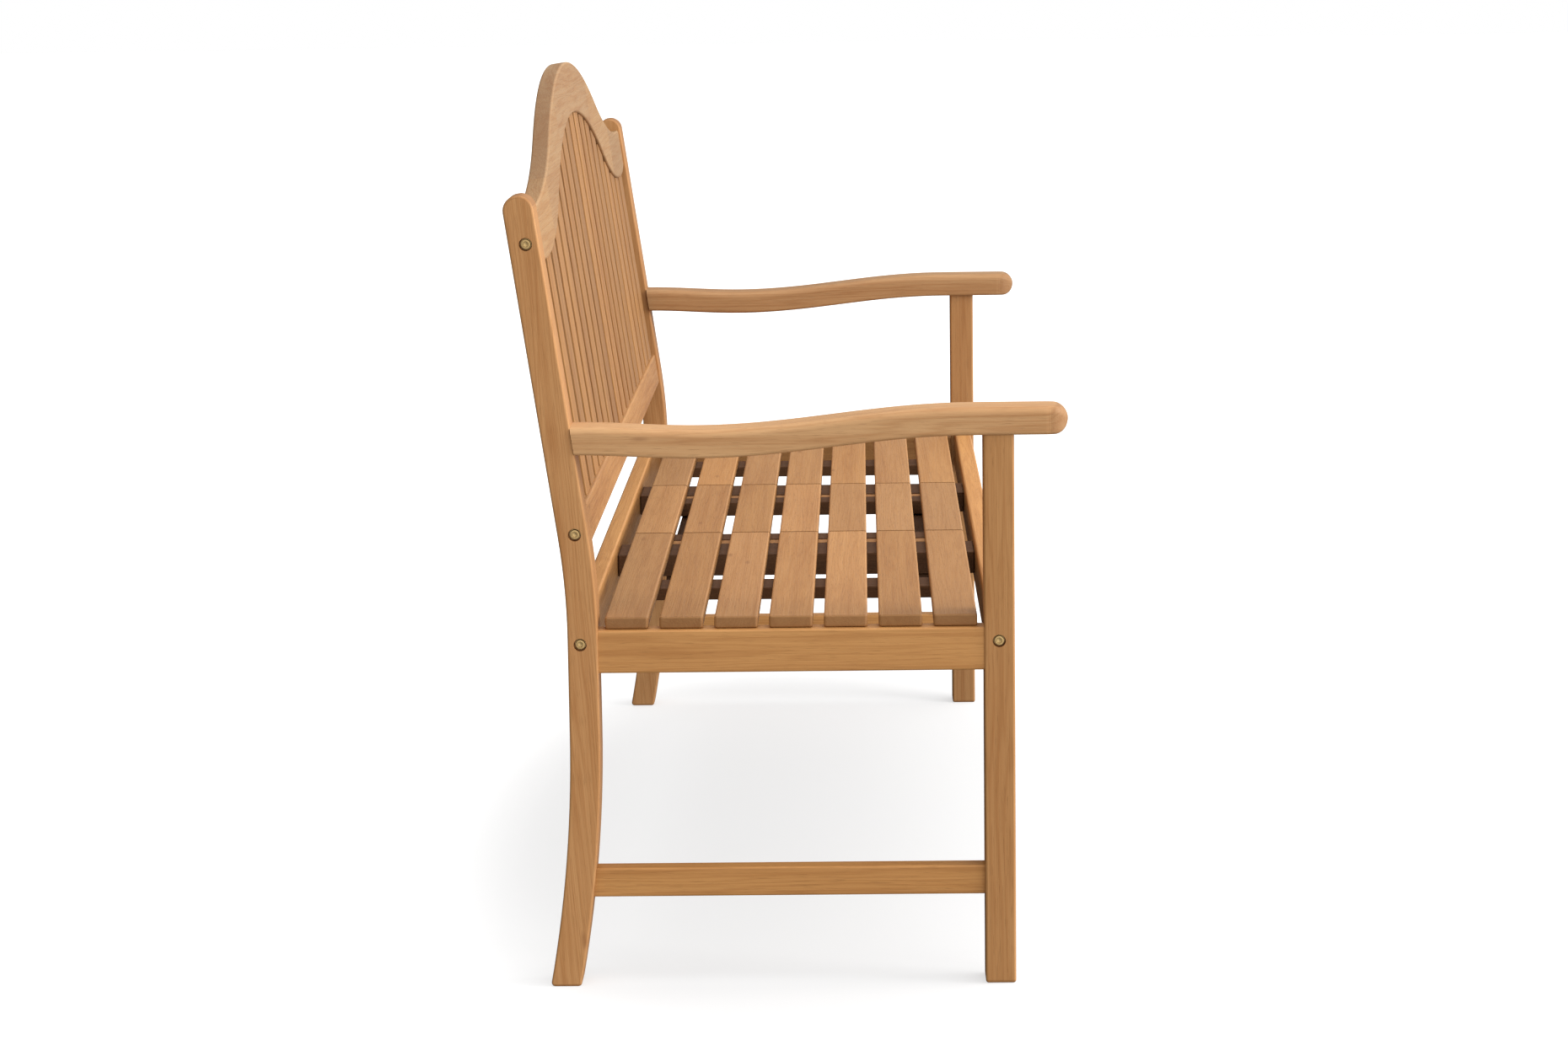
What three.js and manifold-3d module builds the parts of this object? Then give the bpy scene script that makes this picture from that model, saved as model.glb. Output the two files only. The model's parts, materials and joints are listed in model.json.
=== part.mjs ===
// A wooden garden bench with a table that lifts out of the middle of its seat.
// Millimetres, +Z up. X runs along the bench, -Y is its front, and the origin is on the ground
// under the middle of the whole bench.

import * as THREE from 'three';
import { mergeVertices } from 'three/addons/utils/BufferGeometryUtils.js';
import Module from 'manifold-3d';

const wasm = await Module();
wasm.setup();

// ---- Driving sizes -------------------------------------------------------------------------

const benchLength = 1580;        // over the outer faces of the legs
const seatHeight = 435;          // top of the slats
const seatDepth = 442;           // between a front leg and its rear post

const jointGap = 0.3;            // between pieces that touch
const seamGap = 5;               // between the table's slats and the fixed ones
const slatInset = 10;             // the fixed slats stop short of the leg's outer face

const legWidth = 45;             // along the bench
const legDepth = 35;             // front to back
const legEdge = 3;

const postHeight = 920;
const kneeHeight = 472;          // where the leaning line of the back meets the upright one
const kneeReach = 60;            // length of the bend on each side of the knee
const leanAngle = THREE.MathUtils.degToRad(8.14);
const footSweepHeight = 300;     // below this the rear post curves back
const footSweep = 28.5;          // how far back its foot lands

const armRestTop = 675;
const armRestThickness = 32.5;
const armRestWidth = 55;
const armRestOverhang = 3;       // past the leg's outer face
const armRestReach = 62;         // past the front leg's front face
const armRestDip = 23;
const armRestRise = 5;
const armRestDipStart = 50;      // distances behind the front leg's front face
const armRestDipEnd = 360;
const armRestEdge = 6;

const sideRailHeight = 50;
const sideRailWidth = 30;
const sideRailInset = 3;         // behind the leg's outer face
const stretcherBottom = 105;
const stretcherHeight = 34.5;
const stretcherWidth = 25;
const stretcherInset = 8;

const seatRailHeight = 60;
const frontRailThickness = 24;
const frontRailInset = 6;        // behind the front leg's front face
const rearRailThickness = 21;
const rearRailInset = 10;        // behind the rear post's front face

const slatCount = 7;
const slatWidth = 50;
const slatMargin = 7.5;          // between the outer slats and the faces of the legs
const slatThickness = 14;
const slatEdge = 2;

const tableLength = 397;
const battenWidth = 60;
const battenThickness = 15;
const seamRailWidth = 82;
const seamRailThickness = 28;

const backRecess = 4;            // of the rails behind the front face of the posts
const backRailThickness = 22.5;
const backRailBottom = 510;
const backRailHeight = 45;
const backRailEdge = 3;
const backSlatCount = 19;
const backSlatWidth = 50;
const backSlatThickness = 15;
const backSlatEdge = 1.5;

// Each long edge of the crest rail is an arch from the middle, then a hollow that comes level.
// Heights are above the ground; distances along the bench are from the inner face of the post.
const crestTop = { middle: 1035, level: 901, archEnd: 356, levelAt: 20 };
const crestUnder = { middle: 968, level: 836, archEnd: 345, levelAt: 80 };
const crestHookRise = 10;        // of the underside, from where it is level up to the post
const crestSteps = 40;

const cleatWidth = 42;           // under the table's slats
const cleatDepth = 19;
const cleatInset = 5;            // from the ends of the table, front and rear
const swingWidth = 22;
const swingDepth = 20;
const swingHeel = 22;            // past the lower pivot
const swingFrontInset = 25.5;    // of the first pivot, from the table's front edge
const swingRearInset = 27.5;     // of the last pivot, from its rear edge
const swingTipGap = 4;           // between the front arm's tip and the rear arm's heel
const swingCleatGap = 3;
const swingRailGap = 6.7;
const swingDrop = 1;             // of the arms below the underside of the slats
const liftAngle = THREE.MathUtils.degToRad(100);

const rodRadius = 4;
const pivotClearance = 0.5;      // radial, where a rod turns in a hole
const pinSeat = 40;              // length of a pin inside the seam rail
const pinHeadRadius = 7;
const pinHeadThickness = 1.8;
const pinFloat = 0.5;            // between a pin's head and the arm

const spreaderWidth = 25;
const spreaderDepth = 28;
const rearSpreaderInset = 17;    // of the rear spreader's rear face before the rear upper pivot

const crestBoltDrop = 9;        // below the middle of the crest rail's end
const boltSinkRadius = 7.5;      // counterbores in the outer faces of the legs
const boltSinkDepth = 8;

// ---- Sizes worked out from them ------------------------------------------------------------

const legOuter = benchLength / 2;
const legInner = legOuter - legWidth;
const postFront = legDepth + seatDepth;
const postMiddle = postFront + legDepth / 2;
const halfLeg = legDepth / 2;

const slatBottom = seatHeight - slatThickness;
const railTop = slatBottom - jointGap;
const slatSpan = seatDepth - 2 * slatMargin;
const slatPitch = (slatSpan - slatWidth) / (slatCount - 1);
const slatsFront = legDepth + slatMargin;
const tableEnd = tableLength / 2;
const fixedSlatEnd = tableEnd + seamGap;
const fixedSlatLength = legOuter - slatInset - fixedSlatEnd;

const frontRailBack = frontRailInset + frontRailThickness;
const rearRailFront = postFront + rearRailInset;
const seatRailMiddle = seatHeight - seatRailHeight / 2;

const armRestHeight = armRestTop - armRestThickness;
const backPlaneFront = -halfLeg + backRecess;
const backPlaneMiddle = backPlaneFront + backRailThickness / 2;

const pivotHeight = slatBottom - swingDrop - swingDepth / 2;
const swingOuter = tableEnd - 2;
const swingInner = swingOuter - swingWidth;
const seamRailInner = swingOuter + swingRailGap;
const cleatOuter = swingInner - swingCleatGap;
const swingOverlap = swingHeel + swingDepth / 2 + swingTipGap;
const swingLength = (slatSpan - swingFrontInset - swingRearInset - swingOverlap) / 2;
const swingFrontPivot = slatsFront + swingFrontInset;
const swingRearPivot = swingFrontPivot + swingLength + swingOverlap;
const spreaderTop = pivotHeight - swingDepth / 2 - jointGap;

// The heel's lower corner is what meets the front spreader when the table is fully up.
const heelReach = -swingHeel * Math.cos(liftAngle) + (swingDepth / 2) * Math.sin(liftAngle);
const frontSpreaderFront = swingFrontPivot + heelReach + jointGap;
const rearSpreaderFront = swingRearPivot + swingLength - rearSpreaderInset - spreaderWidth;

// The bench's depth runs from the nose of the arm rests to the top of the crest rail's back face.
const crestBackRise = (crestTop.middle - kneeHeight) / Math.cos(leanAngle) - backRailEdge;
const crestBack = postMiddle + (backPlaneFront + backRailThickness) * Math.cos(leanAngle)
  + crestBackRise * Math.sin(leanAngle);
const benchMiddle = (crestBack - armRestReach) / 2;

// ---- Finishes ------------------------------------------------------------------------------

const wood = (colour) => new THREE.MeshStandardMaterial({ color: colour, roughness: 0.6, metalness: 0 });
const frameWood = wood(0xb98a5b);
const railWood = wood(0xb48453);
const slatWood = wood(0xc79b6b);
const backSlatWood = wood(0xbf9161);
const hiddenWood = wood(0x9a6f45);
const steel = new THREE.MeshStandardMaterial({ color: 0xc9b27a, roughness: 0.35, metalness: 1 });

// ---- Shape helpers -------------------------------------------------------------------------

const AXES = {
  // A profile drawn in (Y, Z) and carried along X.
  alongX: new THREE.Matrix4().makeBasis(
    new THREE.Vector3(0, 1, 0), new THREE.Vector3(0, 0, 1), new THREE.Vector3(1, 0, 0)),
  // A profile drawn in (X, Z) and carried towards the front.
  alongY: new THREE.Matrix4().makeBasis(
    new THREE.Vector3(1, 0, 0), new THREE.Vector3(0, 0, 1), new THREE.Vector3(0, -1, 0)),
  // A profile drawn in (X, Y) and carried up.
  alongZ: new THREE.Matrix4(),
};

// Carries a profile along an axis, centred on it, with its end edges taken off.
function carry(profile, length, axis, edge, steps = 8) {
  const shape = Array.isArray(profile) ? new THREE.Shape(profile) : profile;
  const geometry = new THREE.ExtrudeGeometry(shape, {
    depth: length - 2 * edge,
    bevelEnabled: edge > 0,
    bevelThickness: edge,
    bevelSize: edge,
    bevelOffset: -edge,
    bevelSegments: 1,
    curveSegments: steps,
  });
  geometry.translate(0, 0, edge - length / 2);
  geometry.applyMatrix4(AXES[axis]);
  return geometry;
}

// A rectangle with its corners cut off at 45 degrees.
function chamferedRectangle(width, height, edge) {
  const x = width / 2;
  const y = height / 2;
  const corners = [[x, y - edge], [x - edge, y], [edge - x, y], [-x, y - edge],
    [-x, edge - y], [edge - x, -y], [x - edge, -y], [x, edge - y]];
  return corners.map(([a, b]) => new THREE.Vector2(a, b));
}

// A bar centred on the origin, with every edge taken off, sized along X, Y and Z.
function bar(sizeX, sizeY, sizeZ, edge) {
  if (sizeX >= sizeY && sizeX >= sizeZ) {
    return carry(chamferedRectangle(sizeY, sizeZ, edge), sizeX, 'alongX', edge);
  }
  if (sizeY >= sizeZ) {
    return carry(chamferedRectangle(sizeX, sizeZ, edge), sizeY, 'alongY', edge);
  }
  return carry(chamferedRectangle(sizeX, sizeY, edge), sizeZ, 'alongZ', edge);
}

// A rod along X between two places.
function rod(radius, fromX, toX, y, z, sides = 16) {
  const geometry = new THREE.CylinderGeometry(radius, radius, toX - fromX, sides);
  geometry.rotateZ(Math.PI / 2);
  geometry.translate((fromX + toX) / 2, y, z);
  return geometry;
}

function solid(geometry) {
  const bare = geometry.clone();
  bare.deleteAttribute('normal');
  bare.deleteAttribute('uv');
  const merged = mergeVertices(bare, 1e-4);
  return new wasm.Manifold(new wasm.Mesh({
    numProp: 3,
    vertProperties: new Float32Array(merged.attributes.position.array),
    triVerts: new Uint32Array(merged.index.array),
  }));
}

function geometryOf(manifold) {
  const mesh = manifold.getMesh();
  const geometry = new THREE.BufferGeometry();
  geometry.setAttribute('position', new THREE.BufferAttribute(mesh.vertProperties, 3));
  geometry.setIndex(new THREE.BufferAttribute(mesh.triVerts, 1));
  return geometry;
}

const join = (geometries) => geometries.map(solid).reduce((whole, piece) => whole.add(piece));

function cut(geometry, tools) {
  const whole = tools.reduce((left, tool) => left.subtract(solid(tool)), solid(geometry));
  return geometryOf(whole);
}

// ---- The bench's groups --------------------------------------------------------------------

// Y is counted from the front face of the front legs, then the whole bench is centred.
const bench = new THREE.Group();
bench.position.y = -benchMiddle;

// The back leans on a line through the knee: its own Z runs up the slope, its own Y is its depth.
const back = new THREE.Group();
back.position.set(0, postMiddle, kneeHeight);
back.rotation.x = -leanAngle;
bench.add(back);

function place(name, geometry, material, group = bench) {
  const mesh = new THREE.Mesh(geometry, material);
  mesh.name = name;
  group.add(mesh);
  return mesh;
}

function placeAt(name, geometry, material, x, y, z, group = bench) {
  place(name, geometry, material, group).position.set(x, y, z);
}

const upBack = (height) => (height - kneeHeight) / Math.cos(leanAngle);
const ENDS = [['left', -1], ['right', 1]];

// ---- End frames ----------------------------------------------------------------------------

// The rear post's side view: a foot that sweeps back, an upright, a bend at the knee, a leaning
// length and a round top. Both edges are offsets of one middle line.
function postProfile() {
  const sweepRadius = (footSweepHeight ** 2 + footSweep ** 2) / (2 * footSweep);
  const kneeRadius = kneeReach / Math.tan(leanAngle / 2);
  const sweepCentre = postMiddle + sweepRadius;
  const kneeCentre = postMiddle + kneeRadius;
  const bendStart = kneeHeight - kneeReach;
  const topZ = postHeight - halfLeg;
  const topY = postMiddle + (topZ - kneeHeight) * Math.tan(leanAngle);
  const footAngle = (radius) => Math.asin(footSweepHeight / radius);
  const frontSweep = sweepRadius + halfLeg;
  const backSweep = sweepRadius - halfLeg;

  const shape = new THREE.Shape();
  shape.absarc(sweepCentre, footSweepHeight, frontSweep, Math.PI + footAngle(frontSweep), Math.PI, true);
  shape.absarc(kneeCentre, bendStart, kneeRadius + halfLeg, Math.PI, Math.PI - leanAngle, true);
  shape.absarc(topY, topZ, halfLeg, Math.PI - leanAngle, -leanAngle, true);
  shape.absarc(kneeCentre, bendStart, kneeRadius - halfLeg, Math.PI - leanAngle, Math.PI, false);
  shape.absarc(sweepCentre, footSweepHeight, backSweep, Math.PI, Math.PI + footAngle(backSweep), false);
  shape.closePath();
  return shape;
}

// The front face of the rear post at a height below the knee's bend, and above it.
function postFrontBelow(height) {
  const sweepRadius = (footSweepHeight ** 2 + footSweep ** 2) / (2 * footSweep);
  const drop = Math.max(footSweepHeight - height, 0);
  const radius = sweepRadius + halfLeg;
  return postMiddle + sweepRadius - Math.sqrt(radius ** 2 - drop ** 2);
}

function postFrontAbove(height) {
  return postMiddle + (height - kneeHeight) * Math.tan(leanAngle) - halfLeg / Math.cos(leanAngle);
}

// The arm rest's side view: level over the front leg, then a dip towards the post, with a round nose.
function armRestUnderside(y) {
  const wave = (t) => 0.5 - 0.5 * Math.cos(Math.PI * THREE.MathUtils.clamp(t, 0, 1));
  const dip = wave((y - armRestDipStart) / (armRestDipEnd - armRestDipStart));
  const rise = wave((y - armRestDipEnd) / (postFrontAbove(armRestHeight) - armRestDipEnd));
  return armRestHeight - armRestDip * dip + armRestRise * rise;
}

function armRestProfile() {
  const nose = armRestThickness / 2;
  const steps = 14;
  const rearY = (height) => postFrontAbove(height) - jointGap;
  const rearHeight = armRestUnderside(postFrontAbove(armRestHeight));
  const shape = new THREE.Shape();
  shape.absarc(nose - armRestReach, armRestHeight + nose, nose, Math.PI / 2, Math.PI * 1.5, false);
  for (let i = 0; i < steps; i += 1) {
    const y = armRestDipStart + (rearY(rearHeight) - armRestDipStart) * (i / steps);
    shape.lineTo(y, armRestUnderside(y));
  }
  shape.lineTo(rearY(rearHeight), rearHeight);
  shape.lineTo(rearY(rearHeight + armRestThickness), rearHeight + armRestThickness);
  for (let i = steps - 1; i >= 0; i -= 1) {
    const y = armRestDipStart + (rearY(rearHeight) - armRestDipStart) * (i / steps);
    shape.lineTo(y, armRestUnderside(y) + armRestThickness);
  }
  shape.closePath();
  return shape;
}

// The places of the bolts in the side view of an end: [y, height].
function boltPlaces() {
  const onBack = (height) => {
    const rise = upBack(height);
    return [postMiddle + backPlaneMiddle * Math.cos(leanAngle) + rise * Math.sin(leanAngle),
      kneeHeight - backPlaneMiddle * Math.sin(leanAngle) + rise * Math.cos(leanAngle)];
  };
  const crestEndMiddle = (crestTopAt(legInner) + crestUndersideAt(legInner)) / 2 - crestBoltDrop;
  return {
    rear: [onBack(kneeHeight + crestEndMiddle * Math.cos(leanAngle)),
      onBack(backRailBottom + backRailHeight / 2),
      [rearRailFront + rearRailThickness / 2, seatRailMiddle]],
    front: [[frontRailInset + frontRailThickness / 2, seatRailMiddle]],
  };
}

function boltSinks(places, side) {
  const outer = side * (legOuter + 1);
  const inner = side * (legOuter - boltSinkDepth);
  return places.map(([y, z]) =>
    rod(boltSinkRadius, Math.min(outer, inner), Math.max(outer, inner), y, z, 20));
}

function buildEndFrame(end, side) {
  const legX = side * (legOuter - legWidth / 2);
  const bolts = boltPlaces();

  const post = carry(postProfile(), legWidth, 'alongX', legEdge);
  post.translate(legX, 0, 0);
  place(`rear_post_${end}`, cut(post, boltSinks(bolts.rear, side)), frameWood);

  const legHeight = armRestHeight - jointGap;
  const leg = bar(legWidth, legDepth, legHeight, legEdge);
  leg.translate(legX, halfLeg, legHeight / 2);
  place(`front_leg_${end}`, cut(leg, boltSinks(bolts.front, side)), frameWood);

  const armX = side * (legOuter + armRestOverhang - armRestWidth / 2);
  placeAt(`arm_rest_${end}`, carry(armRestProfile(), armRestWidth, 'alongX', armRestEdge),
    frameWood, armX, 0, 0);

  const railX = side * (legOuter - sideRailInset - sideRailWidth / 2);
  const railLength = seatDepth - 2 * jointGap;
  placeAt(`side_rail_${end}`, bar(sideRailWidth, railLength, sideRailHeight, slatEdge), railWood,
    railX, legDepth + seatDepth / 2, railTop - sideRailHeight / 2);

  const stretcherTop = stretcherBottom + stretcherHeight;
  const stretcher = [[legDepth + jointGap, stretcherBottom],
    [postFrontBelow(stretcherBottom) - jointGap, stretcherBottom],
    [postFrontBelow(stretcherTop) - jointGap, stretcherTop],
    [legDepth + jointGap, stretcherTop]].map(([y, z]) => new THREE.Vector2(y, z));
  placeAt(`lower_stretcher_${end}`, carry(stretcher, stretcherWidth, 'alongX', slatEdge), railWood,
    side * (legOuter - stretcherInset - stretcherWidth / 2), 0, 0);
}

// ---- Back ----------------------------------------------------------------------------------

const drop = (radius, x) => radius - Math.sqrt(radius ** 2 - x ** 2);

// Height up the back of one long edge of the crest rail. The arch and the hollow share a tangent
// where they meet, which fixes its slope, and with it both radii.
function camelBack(x, edge) {
  const run = Math.abs(x);
  const archReach = legInner - edge.archEnd;
  const levelAt = legInner - edge.levelAt;
  const middle = upBack(edge.middle);
  const level = upBack(edge.level);
  const slope = Math.sin(2 * Math.atan((middle - level) / levelAt));
  if (run <= archReach) return middle - drop(archReach / slope, run);
  if (run <= levelAt) return level + drop((levelAt - archReach) / slope, levelAt - run);
  return level;
}

function crestTopAt(x) {
  return camelBack(x, crestTop);
}

function crestUndersideAt(x) {
  const hookRadius = (crestUnder.levelAt ** 2 + crestHookRise ** 2) / (2 * crestHookRise);
  const pastLevel = Math.max(Math.abs(x) - (legInner - crestUnder.levelAt), 0);
  return camelBack(x, crestUnder) + drop(hookRadius, pastLevel);
}

function buildCrestRail() {
  const end = legInner - jointGap;
  const outline = [];
  for (let i = 0; i <= crestSteps; i += 1) {
    const x = -end + 2 * end * (i / crestSteps);
    outline.push(new THREE.Vector2(x, crestTopAt(x)));
  }
  for (let i = crestSteps; i >= 0; i -= 1) {
    const x = -end + 2 * end * (i / crestSteps);
    outline.push(new THREE.Vector2(x, crestUndersideAt(x)));
  }
  placeAt('crest_rail', carry(outline, backRailThickness, 'alongY', backRailEdge), frameWood,
    0, backPlaneMiddle, 0, back);
}

function buildBackSlats() {
  const opening = 2 * legInner;
  const gap = (opening - backSlatCount * backSlatWidth) / (backSlatCount + 1);
  const pitch = backSlatWidth + gap;
  const foot = upBack(backRailBottom) + backRailHeight + jointGap;
  const topSteps = 4;
  for (let i = 0; i < backSlatCount; i += 1) {
    const middle = -legInner + gap + backSlatWidth / 2 + i * pitch;
    const left = middle - backSlatWidth / 2;
    const outline = [new THREE.Vector2(left, foot)];
    for (let k = 0; k <= topSteps; k += 1) {
      const x = left + backSlatWidth * (k / topSteps);
      outline.push(new THREE.Vector2(x, crestUndersideAt(x) - 2 * jointGap));
    }
    outline.push(new THREE.Vector2(left + backSlatWidth, foot));
    placeAt(`back_slat_${i + 1}`, carry(outline, backSlatThickness, 'alongY', backSlatEdge),
      backSlatWood, 0, backPlaneMiddle, 0, back);
  }
}

function buildBack() {
  buildCrestRail();
  const length = 2 * (legInner - jointGap);
  placeAt('lower_back_rail', bar(length, backRailThickness, backRailHeight, backRailEdge), railWood,
    0, backPlaneMiddle, upBack(backRailBottom) + backRailHeight / 2, back);
  buildBackSlats();
}

// ---- Seat ----------------------------------------------------------------------------------

const slatMiddle = (i) => slatsFront + slatWidth / 2 + i * slatPitch;

function buildSeatRails() {
  const length = 2 * (legInner - jointGap);
  placeAt('front_seat_rail', bar(length, frontRailThickness, seatRailHeight, legEdge), railWood,
    0, frontRailInset + frontRailThickness / 2, seatRailMiddle);
  placeAt('rear_seat_rail', bar(length, rearRailThickness, seatRailHeight, slatEdge), railWood,
    0, rearRailFront + rearRailThickness / 2, seatRailMiddle);
}

function buildFixedSeat(end, side) {
  const slat = bar(fixedSlatLength, slatWidth, slatThickness, slatEdge);
  const slatX = side * (fixedSlatEnd + fixedSlatLength / 2);
  for (let i = 0; i < slatCount; i += 1) {
    placeAt(`seat_slat_${end}_${i + 1}`, slat, slatWood, slatX, slatMiddle(i), seatHeight - slatThickness / 2);
  }
  placeAt(`seat_batten_${end}`, bar(battenWidth, slatSpan - 2 * cleatInset, battenThickness, slatEdge),
    hiddenWood, slatX, slatsFront + slatSpan / 2, railTop - battenThickness / 2);
}

// The seam rail carries the inner ends of the fixed slats and the lower pivots of the table.
function buildSeamRail(end, side) {
  const front = frontRailBack + jointGap;
  const length = rearRailFront - jointGap - front;
  const rail = bar(seamRailWidth, length, seamRailThickness, slatEdge);
  rail.translate(side * (seamRailInner + seamRailWidth / 2), front + length / 2, railTop - seamRailThickness / 2);
  const deep = side * (seamRailInner + pinSeat + jointGap);
  const mouth = side * (seamRailInner - 1);
  const holes = [swingFrontPivot, swingRearPivot].map((y) =>
    rod(rodRadius + jointGap, Math.min(deep, mouth), Math.max(deep, mouth), y, pivotHeight));
  place(`seam_rail_${end}`, cut(rail, holes), hiddenWood);
}

// A spreader ties the seam rails together from below, and is lapped under them.
function buildSpreader(name, front) {
  const lapTop = railTop - seamRailThickness - jointGap;
  const bottom = spreaderTop - spreaderDepth;
  const neck = seamRailInner - jointGap;
  const end = seamRailInner + seamRailWidth;
  const outline = [[-end, bottom], [end, bottom], [end, lapTop], [neck, lapTop],
    [neck, spreaderTop], [-neck, spreaderTop], [-neck, lapTop], [-end, lapTop]];
  const profile = outline.map(([x, z]) => new THREE.Vector2(x, z));
  placeAt(name, carry(profile, spreaderWidth, 'alongY', slatEdge), hiddenWood,
    0, front + spreaderWidth / 2, 0);
}

// ---- Lift-up table -------------------------------------------------------------------------

function buildTableTop() {
  const pieces = [];
  for (let i = 0; i < slatCount; i += 1) {
    const slat = bar(tableLength, slatWidth, slatThickness, slatEdge);
    slat.translate(0, slatMiddle(i), seatHeight - slatThickness / 2);
    pieces.push(slat);
  }
  const cleatBury = 0.5;
  for (const [, side] of ENDS) {
    const cleat = bar(cleatWidth, slatSpan - 2 * cleatInset, cleatDepth + cleatBury, slatEdge);
    cleat.translate(side * (cleatOuter - cleatWidth / 2), slatsFront + slatSpan / 2,
      slatBottom + cleatBury - (cleatDepth + cleatBury) / 2);
    pieces.push(cleat);
  }
  const holes = [swingFrontPivot, swingRearPivot].map((y) =>
    rod(rodRadius + pivotClearance, -tableEnd, tableEnd, y + swingLength, pivotHeight));
  const top = holes.reduce((left, hole) => left.subtract(solid(hole)), join(pieces));
  place('table_top', geometryOf(top), slatWood);
}

// A swing arm lies along Y when the table is down: its heel towards the front, a round rear end.
function swingArmProfile(pivotY) {
  const half = swingDepth / 2;
  const shape = new THREE.Shape();
  shape.moveTo(pivotY - swingHeel, pivotHeight + half);
  shape.lineTo(pivotY - swingHeel, pivotHeight - half);
  shape.absarc(pivotY + swingLength, pivotHeight, half, -Math.PI / 2, Math.PI / 2, false);
  shape.closePath();
  return shape;
}

// A swing frame is a left and a right arm on the rod that carries the table.
function buildSwingFrame(name, pivotY) {
  const arms = ENDS.map(([, side]) => {
    const arm = carry(swingArmProfile(pivotY), swingWidth, 'alongX', slatEdge / 2);
    arm.translate(side * (swingInner + swingWidth / 2), 0, 0);
    return arm;
  });
  const upperRod = rod(rodRadius, 1 - swingOuter, swingOuter - 1, pivotY + swingLength, pivotHeight);
  const hole = rod(rodRadius + pivotClearance, -tableEnd, tableEnd, pivotY, pivotHeight);
  place(name, geometryOf(join([...arms, upperRod]).subtract(solid(hole))), hiddenWood);
}

// A pivot pin has its head inside the arm and its tail in the seam rail.
function buildPivotPin(name, side, pivotY) {
  const headInner = swingInner - pinFloat - pinHeadThickness;
  const tail = seamRailInner + pinSeat;
  const profile = [[0, headInner], [pinHeadRadius, headInner], [pinHeadRadius, headInner + pinHeadThickness],
    [rodRadius, headInner + pinHeadThickness], [rodRadius, tail], [0, tail]];
  const pin = new THREE.LatheGeometry(profile.map(([r, x]) => new THREE.Vector2(r, x)), 16);
  pin.rotateZ(side > 0 ? -Math.PI / 2 : Math.PI / 2);
  placeAt(name, pin, steel, 0, pivotY, pivotHeight);
}

function buildTable() {
  buildTableTop();
  for (const [row, pivotY] of [['front', swingFrontPivot], ['rear', swingRearPivot]]) {
    buildSwingFrame(`swing_frame_${row}`, pivotY);
    for (const [end, side] of ENDS) buildPivotPin(`pivot_pin_${row}_${end}`, side, pivotY);
  }
}

// ---- The bench -----------------------------------------------------------------------------

for (const [end, side] of ENDS) {
  buildEndFrame(end, side);
  buildFixedSeat(end, side);
  buildSeamRail(end, side);
}
buildBack();
buildSeatRails();
buildSpreader('table_spreader_front', frontSpreaderFront);
buildSpreader('table_spreader_rear', rearSpreaderFront);
buildTable();

export default bench;
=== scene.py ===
"""A garden bench of oiled hardwood, with a table that lifts out of the middle of its seat.

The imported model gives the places. This file makes the pieces that are seen, their timber and
fittings, and the stage. Lengths are in metres. X runs along the bench, and -Y is its front."""

import json
import math
import zlib

import bpy
import numpy as np
from bpy.props import FloatProperty, FloatVectorProperty, PointerProperty
from mathutils import Matrix, Vector


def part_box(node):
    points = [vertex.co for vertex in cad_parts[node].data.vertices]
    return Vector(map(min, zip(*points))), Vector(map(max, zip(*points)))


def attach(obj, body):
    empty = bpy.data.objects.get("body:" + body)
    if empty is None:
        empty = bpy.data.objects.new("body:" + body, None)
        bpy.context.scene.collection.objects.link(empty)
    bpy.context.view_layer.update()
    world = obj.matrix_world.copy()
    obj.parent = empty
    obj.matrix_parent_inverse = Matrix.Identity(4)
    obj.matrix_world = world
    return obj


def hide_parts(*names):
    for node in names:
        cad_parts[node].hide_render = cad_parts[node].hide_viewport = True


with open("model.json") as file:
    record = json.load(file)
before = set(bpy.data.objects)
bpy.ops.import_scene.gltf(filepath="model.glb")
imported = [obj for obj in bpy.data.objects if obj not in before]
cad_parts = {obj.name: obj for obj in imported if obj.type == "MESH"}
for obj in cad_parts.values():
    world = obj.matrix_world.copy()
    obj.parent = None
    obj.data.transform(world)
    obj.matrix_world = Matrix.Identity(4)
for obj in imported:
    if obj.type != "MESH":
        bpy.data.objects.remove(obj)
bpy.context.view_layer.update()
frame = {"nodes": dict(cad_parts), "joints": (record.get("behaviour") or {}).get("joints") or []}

bl_info = {
    "name": "Garden bench with a lift-up table",
    "version": (1, 0, 0),
    "blender": (4, 5, 0),
    "location": "View3D > Sidebar > Bench",
    "description": "Makes the timber, the fittings and the stage of a garden bench",
    "category": "Add Mesh",
}

X, Y, Z = 0, 1, 2
ENDS = (("left", -1.0), ("right", 1.0))
BUTT = (False, False)       # ends of a piece that both run into a neighbour
JOINT_GAP = 0.0003          # between the frame's touching pieces
SHOULDER = 0.0006           # how far a butt end is let into its neighbour
OVERCUT = 0.001             # how far a cutter reaches out of the wood


def corners(node):
    """The lowest and highest corner of a piece of the frame."""
    low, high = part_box(node)
    return np.array(low), np.array(high)


def middle(node):
    low, high = corners(node)
    return (low + high) / 2


# ---- Places read from the frame ------------------------------------------------------------

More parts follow.
